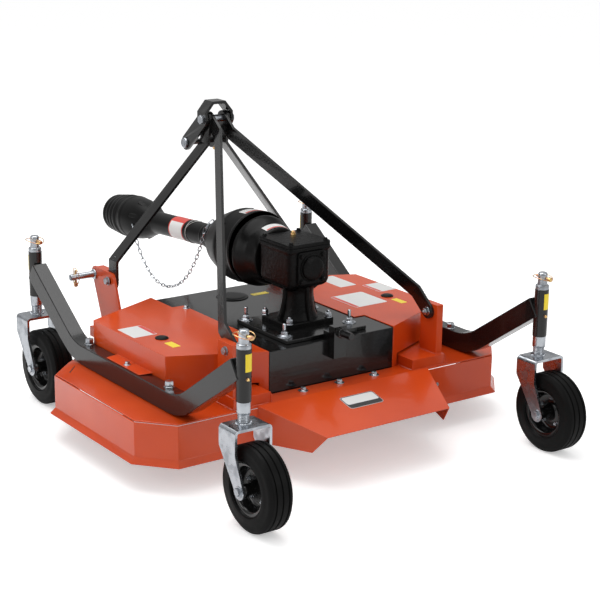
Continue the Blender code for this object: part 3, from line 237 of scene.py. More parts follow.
# Each lamp: its name, where it hangs, what it points at, its width and its power in watts.
LAMPS = (("overhead", (-0.4, 0.6, 3.6), (0.0, 0.1, 0.3), 3.4, 80.0),
         ("left", (-4.4, 0.4, 1.9), (0, 0, 0.4), 2.4, 38.0),
         ("rear", (1.6, -4.8, 2.4), (0, 0, 0.4), 2.2, 34.0))
for name, place, target, width, power in LAMPS:
    lamp = bpy.data.lights.new("lamp_" + name, "AREA")
    lamp.size = width
    lamp.energy = power
    holder = bpy.data.objects.new("lamp_" + name, lamp)
    bpy.context.scene.collection.objects.link(holder)
    aim = (Vector(target) - Vector(place)).to_track_quat("-Z", "Y")
    holder.matrix_world = Matrix.Translation(place) @ aim.to_matrix().to_4x4()


# Orange sheet metal: the deck, its skirts and chute, the channels with their brackets, and the belt covers.
# Pressed, bent and welded steel, rounded at its bends, powder-coated in a glossy orange.
def orange_peel(finish, scale, distance):
    """The low ripple of sprayed paint, with a slower wave under it."""
    finish.bump(finish.noise(scale) + finish.noise(scale / 9) * 1.5, distance, 0.6)


orange_paint = Finish("orange_gloss", (0.5, 0.05, 0.008), 0.26, Specular_IOR_Level=0.35, Coat_Weight=0.25,
                      Coat_Roughness=0.06)
clouds = orange_paint.mask(orange_paint.noise(2.6, 3.0), 0.35, 0.7)
orange = orange_paint.mix(clouds, (0.62, 0.066, 0.008), (0.53, 0.050, 0.006))
specks = orange_paint.mask(orange_paint.noise(190.0, 1.0), 0.76, 0.8)
orange_paint.set("Base Color", orange_paint.mix(specks * 0.35, orange, (0.22, 0.05, 0.02)))
orange_paint.set("Roughness", orange_paint.noise(22.0, 3.0) * 0.12 + 0.16)
orange_peel(orange_paint, 420.0, 0.00035)


def rounded(node, finish, width, segments=2, angle=32.0):
    """A copy of a CAD node: doubles merged, flat faces made whole again and edges rounded off."""
    mesh = frame["nodes"][node].data.copy()
    mesh.materials.clear()
    work = bmesh.new()
    work.from_mesh(mesh)
    bmesh.ops.remove_doubles(work, verts=work.verts, dist=1e-5)
    bmesh.ops.dissolve_limit(work, angle_limit=radians(1.5), verts=work.verts, edges=work.edges)
    work.to_mesh(mesh)
    work.free()
    mesh.materials.append(finish.material)
    piece = bpy.data.objects.new(node + "_finished", mesh)
    bpy.context.scene.collection.objects.link(piece)
    if width:
        edge = piece.modifiers.new("edges", "BEVEL")
        edge.width = width
        edge.segments = segments
        edge.limit_method = "ANGLE"
        edge.angle_limit = radians(angle)
        edge.harden_normals = True
        edge.use_clamp_overlap = True
    mesh.shade_smooth()
    mesh.set_sharp_from_angle(angle=radians(angle))
    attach(piece, frame["nodes"][node]["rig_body"])
    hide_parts(node)
    return piece


SIDES = (("left", -1), ("right", 1))
ORANGE_EDGES = {"deck_plate": 0.0018, "skirt_left": 0.0012, "skirt_right": 0.0012, "skirt_front": 0.0012,
                "discharge_chute": 0.001, "hitch_rail_left": 0.0016, "hitch_rail_right": 0.0016,
                "belt_cover_left": 0.0011, "belt_cover_right": 0.0011}
for node, width in ORANGE_EDGES.items():
    rounded(node, orange_paint, width)


# Black covers and plates: the folded centre cover, the plate under the gearbox, the rails and bars.
# Glossy black paint over steel, with the same ripple as the orange.
black_paint = Finish("black_gloss", (0.006, 0.006, 0.006), 0.2, Specular_IOR_Level=0.35, Coat_Weight=0.3,
                     Coat_Roughness=0.05)
dust = black_paint.mask(black_paint.noise(6.0, 4.0), 0.5, 0.8)
black_paint.set("Base Color", black_paint.mix(dust, (0.005, 0.005, 0.005), (0.011, 0.0105, 0.010)))
black_paint.set("Roughness", black_paint.noise(30.0, 3.0) * 0.1 + 0.09)
orange_peel(black_paint, 520.0, 0.0003)
BLACK_EDGES = {"center_cover": 0.0016, "gearbox_plate": 0.0022, "wheel_rail_left": 0.0012,
               "wheel_rail_right": 0.0012, "mast_strut_left": 0.0018, "mast_strut_right": 0.0018,
               "mast_brace_left": 0.0018, "mast_brace_right": 0.0018, "belt_tensioner": 0.0012,
               "top_link_clevis": 0.0018}
for node, width in BLACK_EDGES.items():
    rounded(node, black_paint, width)


# Blades and spindles, under the deck: ground and bent steel bars on cast bearing housings.
# Bare steel dulled by grass, and painted castings.
casting = Finish("black_casting", (0.003, 0.003, 0.003), 0.3, Specular_IOR_Level=0.12)
casting.set("Roughness", casting.noise(90.0, 3.0) * 0.3 + 0.18)
casting.bump(casting.noise(260.0, 3.0) + casting.noise(60.0, 2.0) * 1.6, 0.0012, 0.8)
bare_steel = Finish("bare_steel", (0.33, 0.325, 0.32), 0.4, 1.0)
stain = bare_steel.mask(bare_steel.noise(14.0, 4.0), 0.45, 0.75)
bare_steel.set("Base Color", bare_steel.mix(stain, (0.36, 0.355, 0.35), (0.20, 0.17, 0.14)))
bare_steel.set("Roughness", stain * 0.25 + 0.3)
bare_steel.bump(bare_steel.noise(300.0, 2.0), 0.0003, 0.5)
for place in ("center", "left", "right"):
    rounded("spindle_" + place, casting, 0.0012)
    rounded("blade_" + place, bare_steel, 0.0008)


# Dust caps over the spindles: pressed black plastic discs with a low crown, snapped into the covers.
# The big one sits on the centre cover, the small ones on the belt covers.
def turn(profile, steps=48):
    """A profile of (radius, height) turned about z: x = r cos t, y = r sin t, z = height, t all round."""
    radius, height = np.asarray(profile, float).T
    angle = np.arange(steps) * 2 * np.pi / steps
    rows = np.stack((radius[:, None] * np.cos(angle), radius[:, None] * np.sin(angle),
                     np.repeat(height[:, None], steps, 1)), -1)
    return grid(rows, around=True)


def smooth(profile, times=2):
    """The profile, its inner corners cut at a quarter and three quarters of each line, a few times over."""
    line = np.asarray(profile, float)
    for _ in range(times):
        cuts = np.stack((line[:-1] * 0.75 + line[1:] * 0.25, line[:-1] * 0.25 + line[1:] * 0.75), 1)
        line = np.concatenate((line[:1], cuts.reshape(-1, 2)[1:-1], line[-1:]))
    return line


def spot(x, y, z, away=(0, 0, 1)):
    """A place and turn for a shape: its z axis points away, and its x axis stays level where it can."""
    outward = np.asarray(away, float) / np.linalg.norm(away)
    side = np.cross((0, 0, 1.0), outward)
    side = side / np.linalg.norm(side) if np.linalg.norm(side) > 1e-6 else np.array((1.0, 0, 0))
    return np.column_stack((side, np.cross(outward, side), outward, (x, y, z)))


def put(shape, *spots):
    """The shape once at each spot, as a list of shapes: the points times the spot's turn, plus its place."""
    points, faces = shape
    return [(points @ one[:, :3].T + one[:, 3], faces) for one in spots]


def put_all(shapes, *spots):
    return [copy for shape in shapes for copy in put(shape, *spots)]


def dress(name, shapes, finish, body="mower", slot=None, sharp=35.0, nodes=()):
    """Makes the piece, lets it ride, and hides the CAD nodes it stands for."""
    piece = meshed(name, shapes, finish, sharp)
    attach(piece, body)
    if nodes:
        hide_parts(*nodes)
    return piece


plastic = Finish("black_plastic", (0.003, 0.003, 0.003), 0.32, Specular_IOR_Level=0.14)
plastic.set("Roughness", plastic.noise(45.0, 3.0) * 0.2 + 0.22)
plastic.bump(plastic.noise(600.0, 2.0), 0.0002, 0.5)
for name, radius in (("center", 0.055), ("left", 0.0215), ("right", 0.0215)):
    low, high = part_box("cap_" + name)
    rise = high.z - low.z
    crown = [(0, rise), (radius * 0.5, rise), (radius * 0.78, rise * 0.8), (radius * 0.84, rise * 0.45),
             (radius * 0.97, rise * 0.42), (radius, rise * 0.15), (radius, 0), (0, 0)]
    centre = (low + high) / 2
    dress("dust_cap_" + name, put(turn(smooth(crown)), spot(centre.x, centre.y, low.z)), plastic,
          slot="black_plastic", nodes=["cap_" + name])


# Wheels: solid rubber tyres with four ribs on dished rims of pressed steel, bolted from two halves.
# Each turns on a hub between the fork's legs.
WHEEL_RADIUS = 0.127
AXLE_Z = 0.127
FORK_X = 0.5595
TRAIL = 0.070
CASTERS = tuple((end + "_" + name, side * FORK_X, post) for end, post in (("rear", -0.754), ("front", 0.513))
                for name, side in SIDES)
rubber = Finish("wheel_rubber", (0.0035, 0.0035, 0.0035), 0.5, Specular_IOR_Level=0.1)
rubber.set("Roughness", rubber.noise(60.0, 3.0) * 0.22 + 0.36)
rubber.bump(rubber.noise(420.0, 3.0), 0.0003, 0.6)
TYRE_HALF = 0.0413
RIM_EDGE = 0.0772
tread = [(RIM_EDGE, TYRE_HALF - 0.005), (RIM_EDGE + 0.004, TYRE_HALF), (0.094, TYRE_HALF),
         (0.096, TYRE_HALF - 0.001), (0.109, TYRE_HALF - 0.0015), (0.117, TYRE_HALF - 0.003), (0.1225, 0.0335),
         (0.1255, 0.0315)]
for place in (0.0205, 0.0, -0.0205):
    tread += [(WHEEL_RADIUS, place + 0.006), (WHEEL_RADIUS, place + 0.0031), (0.1238, place + 0.0016),
              (0.1238, place - 0.0016), (WHEEL_RADIUS, place - 0.0031), (WHEEL_RADIUS, place - 0.006)]
tread += [(radius, -place) for radius, place in reversed(tread[:8])]
tyre = turn(tread + [tread[0]], 96)
outer_dish = smooth([(0.0085, 0.052), (0.0175, 0.052), (0.0175, 0.012), (0.052, 0.008), (0.058, 0.014),
                     (0.064, 0.030), (0.0705, 0.0335), (0.0765, 0.0345), (0.0765, 0.038),
                     (RIM_EDGE - 0.0004, 0.038)])
inner_dish = smooth([(0.0765, -0.0345), (0.0705, -0.0335), (0.064, -0.030), (0.058, -0.006), (0.052, 0.001),
                     (0.0175, 0.004), (0.0175, -0.052), (0.0085, -0.052)])
rim = np.concatenate((outer_dish, [(RIM_EDGE - 0.0004, -0.038), (0.0765, -0.038)], inner_dish, outer_dish[:1]))
zinc = Finish("bright_zinc", (0.66, 0.68, 0.70), 0.25, 1.0)
bloom = zinc.mask(zinc.noise(28.0, 4.0), 0.4, 0.7)
zinc.set("Base Color", zinc.mix(bloom, (0.50, 0.525, 0.56), (0.33, 0.35, 0.38)))
zinc.set("Roughness", bloom * 0.16 + zinc.noise(160.0, 2.0) * 0.12 + 0.14)
zinc.bump(zinc.noise(240.0, 3.0), 0.00025, 0.5)


def hexagon(across, height, chamfer=0.18):
    """A hexagon head, across its flats, with its top corners turned down: six-sided rings of given radius."""
    reach = across / 3 ** 0.5
    edge = height * chamfer
    return turn([(0, height), (reach * 0.86, height), (reach, height - edge), (reach, 0), (0, 0)], 6)


def washer(radius, height):
    return turn([(0, height), (radius - height / 3, height), (radius, height * 0.7), (radius, 0), (0, 0)], 28)


def stack(shapes):
    """Shapes set one on another: each (shape, height at which it sits)."""
    return [(points + (0, 0, height), faces) for (points, faces), height in shapes]


def bolts(name, parts, spots, finish, body="mower", **more):
    """Fasteners of the same make, joined into one piece."""
    return dress(name, put_all(stack(parts), *spots), finish, body, **more)


rim_bolt = [(washer(0.0066, 0.0012), 0), (hexagon(0.010, 0.0052), 0.0012),
            (turn([(0, 0.0095), (0.0028, 0.0095), (0.003, 0.005), (0, 0.005)], 12), 0)]
RIM_BOLT_CIRCLE = 0.044
for name, x, post in CASTERS:
    body = "wheel_" + name
    axle = spot(x, post - TRAIL, AXLE_Z, (1, 0, 0))
    dress("tyre_worn_" + name, put(tyre, axle), rubber, body, "wheel_rubber", nodes=["tyre_" + name])
    dress("rim_dished_" + name, put(turn(rim, 72), axle), black_paint, body, "black_paint",
          nodes=["wheel_rim_" + name])
    turns = np.arange(5) * 2 * np.pi / 5 + 0.3
    ring = [spot(x + side * offset, post - TRAIL + RIM_BOLT_CIRCLE * np.cos(t),
                 AXLE_Z + RIM_BOLT_CIRCLE * np.sin(t), (side, 0, 0))
            for t in turns for side, offset in ((-1, -0.0015), (1, 0.0095))]
    bolts("rim_bolts_" + name, rim_bolt, ring, zinc, body, slot="zinc_plating")


# Caster forks: one plate bent twice round the wheel, zinc-plated, its legs slanting back to the axle bolt.
# The stem is welded on top and carries washers, a bearing sleeve and, above the rail, a collar and a cap.
FORK_HALF = 0.06175
FORK_PLATE = 0.008
FORK_ROOF = 0.296
FORK_AHEAD = 0.031
FORK_BEHIND = 0.051
FORK_STRAIGHT = 0.236
EYE = 0.024


def fork_edges(height):
    """A leg's front and rear edges at each height: straight down, then slanting to the axle's round end."""
    lean = np.clip((FORK_STRAIGHT - height) / (FORK_STRAIGHT - AXLE_Z), 0, 1)
    front = FORK_AHEAD + lean * (-TRAIL + EYE - FORK_AHEAD)
    rear = -FORK_BEHIND + np.clip((0.222 - height) / (0.222 - AXLE_Z), 0, 1) * (-TRAIL - EYE + FORK_BEHIND)
    below = np.clip(AXLE_Z - height, 0, EYE)
    half = np.sqrt(np.maximum(EYE ** 2 - below ** 2, 0))
    low = height < AXLE_Z
    return np.where(low, -TRAIL + half, front), np.where(low, -TRAIL - half, rear)


def fork_plate():
    """The bent plate: the path goes up one leg, over the roof and down, each row from edge to edge."""
    bend = 0.013
    quarter = np.linspace(0, np.pi / 2, 9)
    rise = np.concatenate((AXLE_Z - EYE * np.cos(np.linspace(0, np.pi / 2, 12)), np.linspace(0.14, 0.27, 12)))

    def half_path(inset, radius):
        side = FORK_HALF - inset
        corner_x = side - radius
        corner_z = FORK_ROOF - inset - radius
        xs = np.concatenate((np.full(len(rise), side), corner_x + radius * np.cos(quarter)))
        zs = np.concatenate((np.minimum(rise, corner_z), corner_z + radius * np.sin(quarter)))
        return np.stack((xs, zs), 1)

    outer, inner = half_path(0, bend), half_path(FORK_PLATE, bend - FORK_PLATE)
    outer = np.concatenate((outer, outer[::-1] * (-1, 1)))
    inner = np.concatenate((inner, inner[::-1] * (-1, 1)))
    front, rear = fork_edges(outer[:, 1])
    rows = [np.stack((line[:, 0], edge, line[:, 1]), -1) for line, edge in
            ((outer, front), (outer, rear), (inner, rear), (inner, front))]
    lines = np.stack(rows, 1)
    ends = [np.stack((lines[i, :2], lines[i, [3, 2]])).reshape(-1, 3) for i in (0, -1)]
    return [grid(lines, around=True), *((points, np.array([[0, 1, 3, 2]])) for points in ends)]


def rings(low, high, count, radius, groove):
    """A profile of rounded rings from high down to low, as a pile of washers shows."""
    pitch = (high - low) / count
    profile = []
    for i in range(count):
        top = high - pitch * i
        profile += [(radius - groove, top), (radius, top - pitch * 0.22), (radius, top - pitch * 0.78)]
    return profile + [(radius - groove, low)]


# The stem from its rounded tip down: the collar, the shank in the sleeve, the bearing, washers and the weld.
STEM = [(0, 0.566), (0.0095, 0.566), (0.0137, 0.5635), (0.0150, 0.5595), (0.0150, 0.5265), (0.0178, 0.5258),
        (0.0214, 0.5238), (0.0214, 0.5118), (0.0215, 0.5115), (0.0158, 0.5115), (0.0158, 0.3584),
        (0.0206, 0.3584), (0.0207, 0.357), (0.0207, 0.324), (0.0195, 0.3224),
        *rings(0.2975, 0.322, 5, 0.0176, 0.0016), (0.0198, 0.2965), (0.0205, 0.2942), (0.0205, 0.2905),
        (0, 0.2905)]
plate = fork_plate()
gold = Finish("yellow_zinc", (0.62, 0.40, 0.14), 0.28, 1.0)
sheen = gold.mask(gold.noise(60.0, 3.0), 0.4, 0.65)
gold.set("Base Color", gold.mix(sheen, (0.72, 0.50, 0.20), (0.60, 0.30, 0.20)))
gold.set("Roughness", sheen * 0.15 + 0.2)


def tube(path, radius, sides=8, closed=False):
    """A round section carried along a path: each ring lies square to the path, and closed joins its ends."""
    path = np.asarray(path, float)
    step = np.roll(path, -1, 0) - np.roll(path, 1, 0) if closed else np.gradient(path, axis=0)
    along = step / np.linalg.norm(step, axis=1, keepdims=True)
    helper = np.where(np.abs(along[:, 2:3]) > 0.9, (1.0, 0, 0), (0, 0, 1.0))
    side = np.cross(along, helper)
    side /= np.linalg.norm(side, axis=1, keepdims=True)
    other = np.cross(along, side)
    angle = np.arange(sides) * 2 * np.pi / sides
    radius = np.broadcast_to(np.asarray(radius, float), len(path))[:, None, None]
    rows = path[:, None] + radius * (np.cos(angle)[None, :, None] * side[:, None]
                                     + np.sin(angle)[None, :, None] * other[:, None])
    return grid(rows, around=True, along=closed)


def closed(rows):
    """The grid of the rows, its two open ends drawn in to their middles."""
    ends = [np.broadcast_to(rows[i].mean(0), rows[i].shape)[None] for i in (0, -1)]
    return grid(np.concatenate((ends[0], rows, ends[1])), around=True)


def pillar(levels, corner=6):
    """Rounded oblongs one over another, each level a half width, low and high edge, corner radius and height.

    Each corner is a quarter circle about a point one radius in from both edges.
    """
    half, low, high, radius, height = np.asarray(levels, float).T[:, :, None]
    quarter = np.repeat(np.arange(4), corner)[None]
    angle = quarter * np.pi / 2 + np.tile(np.linspace(0, np.pi / 2, corner), 4)
    east = np.array([1, -1, -1, 1])[quarter]
    xs = east * (half - radius) + radius * np.cos(angle)
    ys = np.where(quarter < 2, high - radius, low + radius) + radius * np.sin(angle)
    return closed(np.stack((xs, ys, np.broadcast_to(height, xs.shape)), -1))


def linch(reach, drop):
    """A linch pin along z: the peg, its thick head, and the sprung ring x = reach cos t, z = drop sin t."""
    t = np.linspace(0, 2 * np.pi, 40, endpoint=False)
    ring = np.stack((reach * np.cos(t), 0.0025 * np.cos(2 * t), drop * np.sin(t)), 1)
    peg = turn([(0, 0.020), (0.0042, 0.020), (0.0046, 0.016), (0.0046, -0.018), (0.0035, -0.023),
                (0, -0.0235)], 14)
    head = pillar([(0.0055, -0.0045, 0.0045, 0.003, 0.019), (0.0072, -0.0062, 0.0062, 0.004, 0.021),
                   (0.0072, -0.0062, 0.0062, 0.004, 0.031), (0.005, -0.0045, 0.0045, 0.003, 0.034)])
    return [tube(ring, 0.00135, 6, closed=True), peg, head]


def weld(path, radius=0.0028, ripple=0.00035, pitch=0.0032):
    """A bead: a round section whose radius swells once for each pass of the torch along the path."""
    path = np.asarray(path, float)
    length = np.concatenate(([0], np.cumsum(np.linalg.norm(np.diff(path, axis=0), axis=1))))
    even = np.arange(0, length[-1], pitch / 4)
    fine = np.stack([np.interp(even, length, path[:, i]) for i in range(3)], 1)
    return tube(fine, radius + ripple * np.sin(even / pitch * 2 * np.pi), 7)


def circle(center, radius, count=40, away=(0, 0, 1.0)):
    """Points round a circle that faces away."""
    t = np.linspace(0, 2 * np.pi, count)
    ring = np.stack((radius * np.cos(t), radius * np.sin(t), np.zeros(count)), 1)
    place = spot(*center, away)
    return ring @ place[:, :3].T + place[:, 3]


axle_bolt = [(washer(0.0165, 0.0022), -0.0002), (hexagon(0.0215, 0.0068), 0.002)]
for name, x, post in CASTERS:
    body = "caster_" + name
    base = np.column_stack((np.eye(3), (x, post, 0)))
    pieces = put_all(plate, base)
    pieces += put(turn(smooth(STEM, 1), 40), base)
    pieces.append(weld(circle((x, post, 0.2965), 0.021), 0.003))
    axle_line = [spot(x + side * FORK_HALF, post - TRAIL, AXLE_Z, (side, 0, 0)) for side in (-1, 1)]
    pieces += put_all(stack(axle_bolt), *axle_line)
    core = turn([(0, FORK_HALF), (0.008, FORK_HALF), (0.008, -FORK_HALF), (0, -FORK_HALF)], 20)
    pieces += put(core, spot(x, post - TRAIL, AXLE_Z, (1, 0, 0)))
    dress("fork_bent_" + name, pieces, zinc, body, "zinc_plating", nodes=["caster_fork_" + name])
    tip = spot(x, post, 0.549, (0.22, -0.97, -0.12))
    dress("stem_pin_" + name, put_all(linch(0.029, 0.032), tip), gold, body, "zinc_plating")


# Gearbox: a rough black iron casting on a finned column, with a bolted lid and a square pad behind.
# Nuts on its base and long studs on its plate hold it to the centre cover.
GEARBOX_Y = -0.223
INPUT_Z = 0.552
BOX_HALF, BOX_REAR, BOX_FRONT = 0.084, -0.291, -0.1125


def block(half_x, half_y, radius, low, high, edge=0.001):
    """An upright plate with round corners and a broken top edge."""
    return pillar([(half_x, -half_y, half_y, radius, low), (half_x, -half_y, half_y, radius, high - edge),
                   (half_x - edge, edge - half_y, half_y - edge, radius, high)])


def shell(inset, radius, height):
    return BOX_HALF - inset, BOX_REAR + inset, BOX_FRONT - inset, radius, height


housing = [shell(0.034, 0.014, 0.474), shell(0.026, 0.016, 0.484), shell(0.014, 0.019, 0.489),
           shell(0.0065, 0.020, 0.496), shell(0.0025, 0.022, 0.508), shell(0.0018, 0.022, 0.600),
           shell(0.0012, 0.021, 0.6065), shell(0, 0.019, 0.609), shell(0, 0.019, 0.6195),
           shell(0.001, 0.018, 0.6215), shell(0.0035, 0.017, 0.6217), shell(0.0035, 0.017, 0.6232),
           shell(0.0012, 0.016, 0.6235), shell(0.0012, 0.016, 0.6305), shell(0.003, 0.014, 0.6335),
           shell(0.02, 0.010, 0.6342)]
center_line = spot(0, GEARBOX_Y, 0)
column = smooth([(0.067, 0.380), (0.0645, 0.3835), (0.056, 0.402), (0.0515, 0.43), (0.0485, 0.455),
                 (0.050, 0.474), (0.056, 0.488)])
fin = pillar([(0.0765, -0.006, 0.006, 0.004, 0.379), (0.069, -0.006, 0.006, 0.004, 0.402),
              (0.060, -0.006, 0.006, 0.004, 0.44), (0.056, -0.006, 0.006, 0.004, 0.488)])
turned_fin = np.column_stack(((0, 1, 0), (-1, 0, 0), (0, 0, 1), (0, GEARBOX_Y, 0)))
behind = spot(0, BOX_REAR, INPUT_Z + 0.004, (0, -1, 0))
ear_spots = [spot(x, BOX_REAR - 0.006, INPUT_Z + 0.004 + z, (0, -1, 0)) for x in (-0.0405, 0.0405)
             for z in (-0.0405, 0.0405)]
lid_spots = [spot(x, y, 0.6335) for x in (-0.0665, 0.0665) for y in (BOX_REAR + 0.0155, BOX_FRONT - 0.0155)]
base_flange = block(0.092, 0.076, 0.011, 0.3637, 0.3806, 0.0025)
rear_pad = block(0.0525, 0.0525, 0.010, -0.004, 0.0068, 0.0018)
bearing_cap = turn([(0.0455, 0.0066), (0.0455, 0.009), (0.044, 0.0105), (0.0418, 0.0102), (0.0412, 0.008),
                    (0.0395, 0.0085), (0.0385, 0.0155), (0.0345, 0.0185), (0.018, 0.0202), (0, 0.0205)], 56)
lid_bolt = stack([(washer(0.0085, 0.0022), 0), (hexagon(0.0125, 0.0058), 0.002)])
cast = [pillar(housing), *put(turn(column, 40), center_line), *put(fin, center_line, turned_fin),
        *put(base_flange, center_line), *put(rear_pad, behind), *put(bearing_cap, behind),
        *put_all(lid_bolt, *ear_spots, *lid_spots)]
dress("gearbox_cast", cast, casting, slot="black_casting", nodes=["gearbox_housing"])
BREATHER = spot(0.014, -0.172, 0.634)
breather_cap = turn(smooth([(0, 0.015), (0.005, 0.0145), (0.0068, 0.012), (0.0068, 0.004), (0, 0.004)], 1), 20)
bolts("breather", [(hexagon(0.0165, 0.006), 0), (breather_cap, 0.001), (washer(0.0082, 0.0012), 0.0085)],
      [BREATHER], gold, slot="zinc_plating")
BASE_BOLTS = [(x, y) for x in (-0.0785, 0.0735) for y in (-0.2885, -0.1535)]
STUDS = [(-0.1345, -0.3405), (0.1295, -0.3265), (-0.133, -0.123), (0.1295, -0.123)]
thread = turn([(0, 0.001), (0.0046, 0), (0.0058, -0.0012), (0.0058, -0.024), (0, -0.024)], 14)
lock_washer = turn(rings(0, 0.0032, 1, 0.0098, 0.0012), 24)
bolts("base_nuts", [(washer(0.0125, 0.0026), 0), (lock_washer, 0.0024), (hexagon(0.0192, 0.0115), 0.0056),
                    (thread, 0.0235)], [spot(x, y, 0.3806) for x, y in BASE_BOLTS], zinc, slot="zinc_plating")
stud_flange = turn(smooth([(0.009, 0.006), (0.0125, 0.0035), (0.0152, 0.0022), (0.0152, 0)], 1), 28)
bolts("plate_studs", [(washer(0.0225, 0.0024), 0), (stud_flange, 0.0022), (hexagon(0.0192, 0.0125), 0.0045),
                      (thread, 0.0425), (thread, 0.024)],
      [spot(x, y, 0.3633) for x, y in STUDS], zinc, slot="zinc_plating")


# Driveline: moulded black guards over a steel shaft, drooping forwards from the gearbox.
# A stepped cup is bolted on the gearbox, a bell and cone cover the joint, and two tubes slide in one another.
DROOP = radians(3.8)
line = spot(0, 0.064, INPUT_Z, (0, cos(DROOP), -sin(DROOP)))
cup = spot(0, -0.1107, INPUT_Z, (0, 1, 0))


def skin(outer, wall=0.003, hole=0.0):
    """A turned wall: the outer profile out, and the same profile in by the wall's thickness back again."""
    outer = np.asarray(outer, float)
    step = np.gradient(outer, axis=0)
    normal = step[:, ::-1] * (1, -1) / np.linalg.norm(step, axis=1, keepdims=True)
    inner = outer + normal * wall * np.sign((normal * (-1, 0)).sum(1).mean())
    inner[:, 0] = np.maximum(inner[:, 0], hole)
    return np.concatenate((outer, inner[::-1], outer[:1]))


cup_line = smooth([(0.036, 0), (0.088, 0), (0.094, 0.003), (0.0995, 0.042), (0.102, 0.052), (0.1155, 0.076),
                   (0.1182, 0.086), (0.1185, 0.094), (0.1168, 0.0985)])
dress("shield_cup", put(turn(skin(cup_line, hole=0.035), 80), cup), plastic, slot="black_plastic",
      nodes=["input_shield"])
bell_line = smooth([(0.1218, -0.067), (0.1242, -0.0655), (0.1242, -0.058), (0.1228, -0.0545), (0.1228, 0.016),
                    (0.1238, 0.020), (0.1225, 0.032), (0.105, 0.085), (0.0925, 0.122), (0.0675, 0.16),
                    (0.0455, 0.200), (0.0446, 0.208), (0.0446, 0.229), (0.0434, 0.2325), (0.0352, 0.2328)])
rear_tube = skin([(0.0354, 0.228), (0.0354, 0.56)])
rear_guard = [*put(turn(skin(bell_line), 80), line), *put(turn(rear_tube, 40), line)]
for t in (-2.3, -1.3, -0.3, 0.7, 1.7, 2.7):
    clip = np.column_stack((line[:, 0] * -sin(t) + line[:, 1] * cos(t), line[:, 2],
                            line[:, 0] * cos(t) + line[:, 1] * sin(t),
                            line[:, :3] @ (0.1215 * cos(t), 0.1215 * sin(t), 0.006) + line[:, 3]))
    rear_guard += put(block(0.012, 0.006, 0.0025, 0, 0.0032, 0.001), clip)
dress("guard_bell", rear_guard, plastic, slot="black_plastic", nodes=["driveline_guard_rear"])
front_line = smooth([(0.039, 0.239), (0.0405, 0.2405), (0.0405, 0.249), (0.0392, 0.2505), (0.039, 0.27),
                     (0.039, 0.574), (0.0405, 0.586), (0.046, 0.602), (0.057, 0.631), (0.067, 0.66),
                     (0.0735, 0.69), (0.0765, 0.718), (0.0776, 0.736), (0.0792, 0.7385), (0.0795, 0.752),
                     (0.0762, 0.7545), (0.0742, 0.776), (0.0785, 0.7815), (0.0785, 0.7965), (0.0735, 0.8015),
                     (0.072, 0.807), (0.0756, 0.8125), (0.0752, 0.8255), (0.0705, 0.8305), (0.069, 0.8355),
                     (0.0724, 0.841), (0.0718, 0.854), (0.067, 0.859), (0.0655, 0.864), (0.0692, 0.8695),
                     (0.0688, 0.880), (0.0665, 0.885)])
front_guard = put(turn(skin(front_line, 0.0028), 72), line)
for t in (0.35, 1.2, 2.45, 3.5, 4.55, 5.6):
    out = np.array((cos(t), sin(t), -0.42)) / 1.085
    lean = np.array((cos(t) * 0.42, sin(t) * 0.42, 1.0)) / 1.085
    latch = line[:, :3] @ np.column_stack((np.cross(lean, out), lean, out))
    place = line[:, :3] @ (0.0645 * cos(t), 0.0645 * sin(t), 0.662) + line[:, 3]
    front_guard += put(block(0.0075, 0.017, 0.0025, -0.004, 0.0042, 0.0014), np.column_stack((latch, place)))
dress("guard_tube_and_bell", front_guard, plastic, "driveline_front", "black_plastic",
      nodes=["driveline_guard_front"])
rounded("driveline_shaft_rear", bare_steel, 0.0008)
rounded("driveline_yoke", bare_steel, 0.0012)
TIE_RADIUS = 0.0402
TIE_PLACE = 0.338
tie_ring = [(TIE_RADIUS * cos(t), TIE_RADIUS * sin(t), TIE_PLACE + 0.0015 * sin(t))
            for t in np.linspace(0, 2 * np.pi, 48)[:-1]]
tie_tail = [(TIE_RADIUS * cos(t), TIE_RADIUS * sin(t), s)
            for t, s in zip(np.linspace(0.5, 1.9, 12), np.linspace(TIE_PLACE, TIE_PLACE - 0.032, 12))]
nylon = Finish("white_nylon", (0.62, 0.62, 0.60), 0.4)
nylon.set("Roughness", nylon.noise(200.0) * 0.2 + 0.3)
dress("cable_tie", put_all([tube(tie_ring, 0.0011, 6, closed=True), tube(tie_tail, 0.001, 6)], line), nylon,
      "driveline_front", "black_plastic")


# Guard chain: thin zinc-plated oval links, every second one turned a quarter, hooked on the cone's top.
# It hangs in front of the struts and ends on the front bell.
CHAIN_PITCH = 0.0190
LINK_WIRE = 0.0017
LINK_HALF = 0.0050
HOOK_PLACE, HOOK_REACH = 0.17, 0.071
turns = np.linspace(radians(112.5), radians(157.5), 12)
down = line[:, :3] @ np.stack((-HOOK_REACH * np.cos(turns), HOOK_REACH * np.sin(turns),
                               np.full(12, HOOK_PLACE))) + line[:, 3:]
foot = np.array((-0.0675, 0.7185, 0.4935))
t = np.linspace(0, 1, 241)[1:]
sag = 0.207 * (np.cosh(2.0) - np.cosh(2.0 * (2 * t - 1))) / (np.cosh(2.0) - 1)
hang = down[:, -1:] * (1 - t) + foot[:, None] * t - np.array((0, 0, 1.0))[:, None] * sag
route = np.concatenate((down, hang), 1).T
length = np.concatenate(([0], np.cumsum(np.linalg.norm(np.diff(route, axis=0), axis=1))))
places = np.arange(CHAIN_PITCH / 2, length[-1], CHAIN_PITCH)
middles, ahead = [np.stack([np.interp(places + shift, length, route[:, i]) for i in range(3)], 1)
                  for shift in (0, 0.002)]
s = np.linspace(0, 2 * np.pi, 17)[:-1]
straight = CHAIN_PITCH / 2 + LINK_WIRE - LINK_HALF
link = tube(np.stack((LINK_HALF * np.cos(s), 0 * s, LINK_HALF * np.sin(s) + straight * np.sign(np.sin(s)
                      * (np.abs(np.sin(s)) > 0.1))), 1), LINK_WIRE, 6, closed=True)
links = []
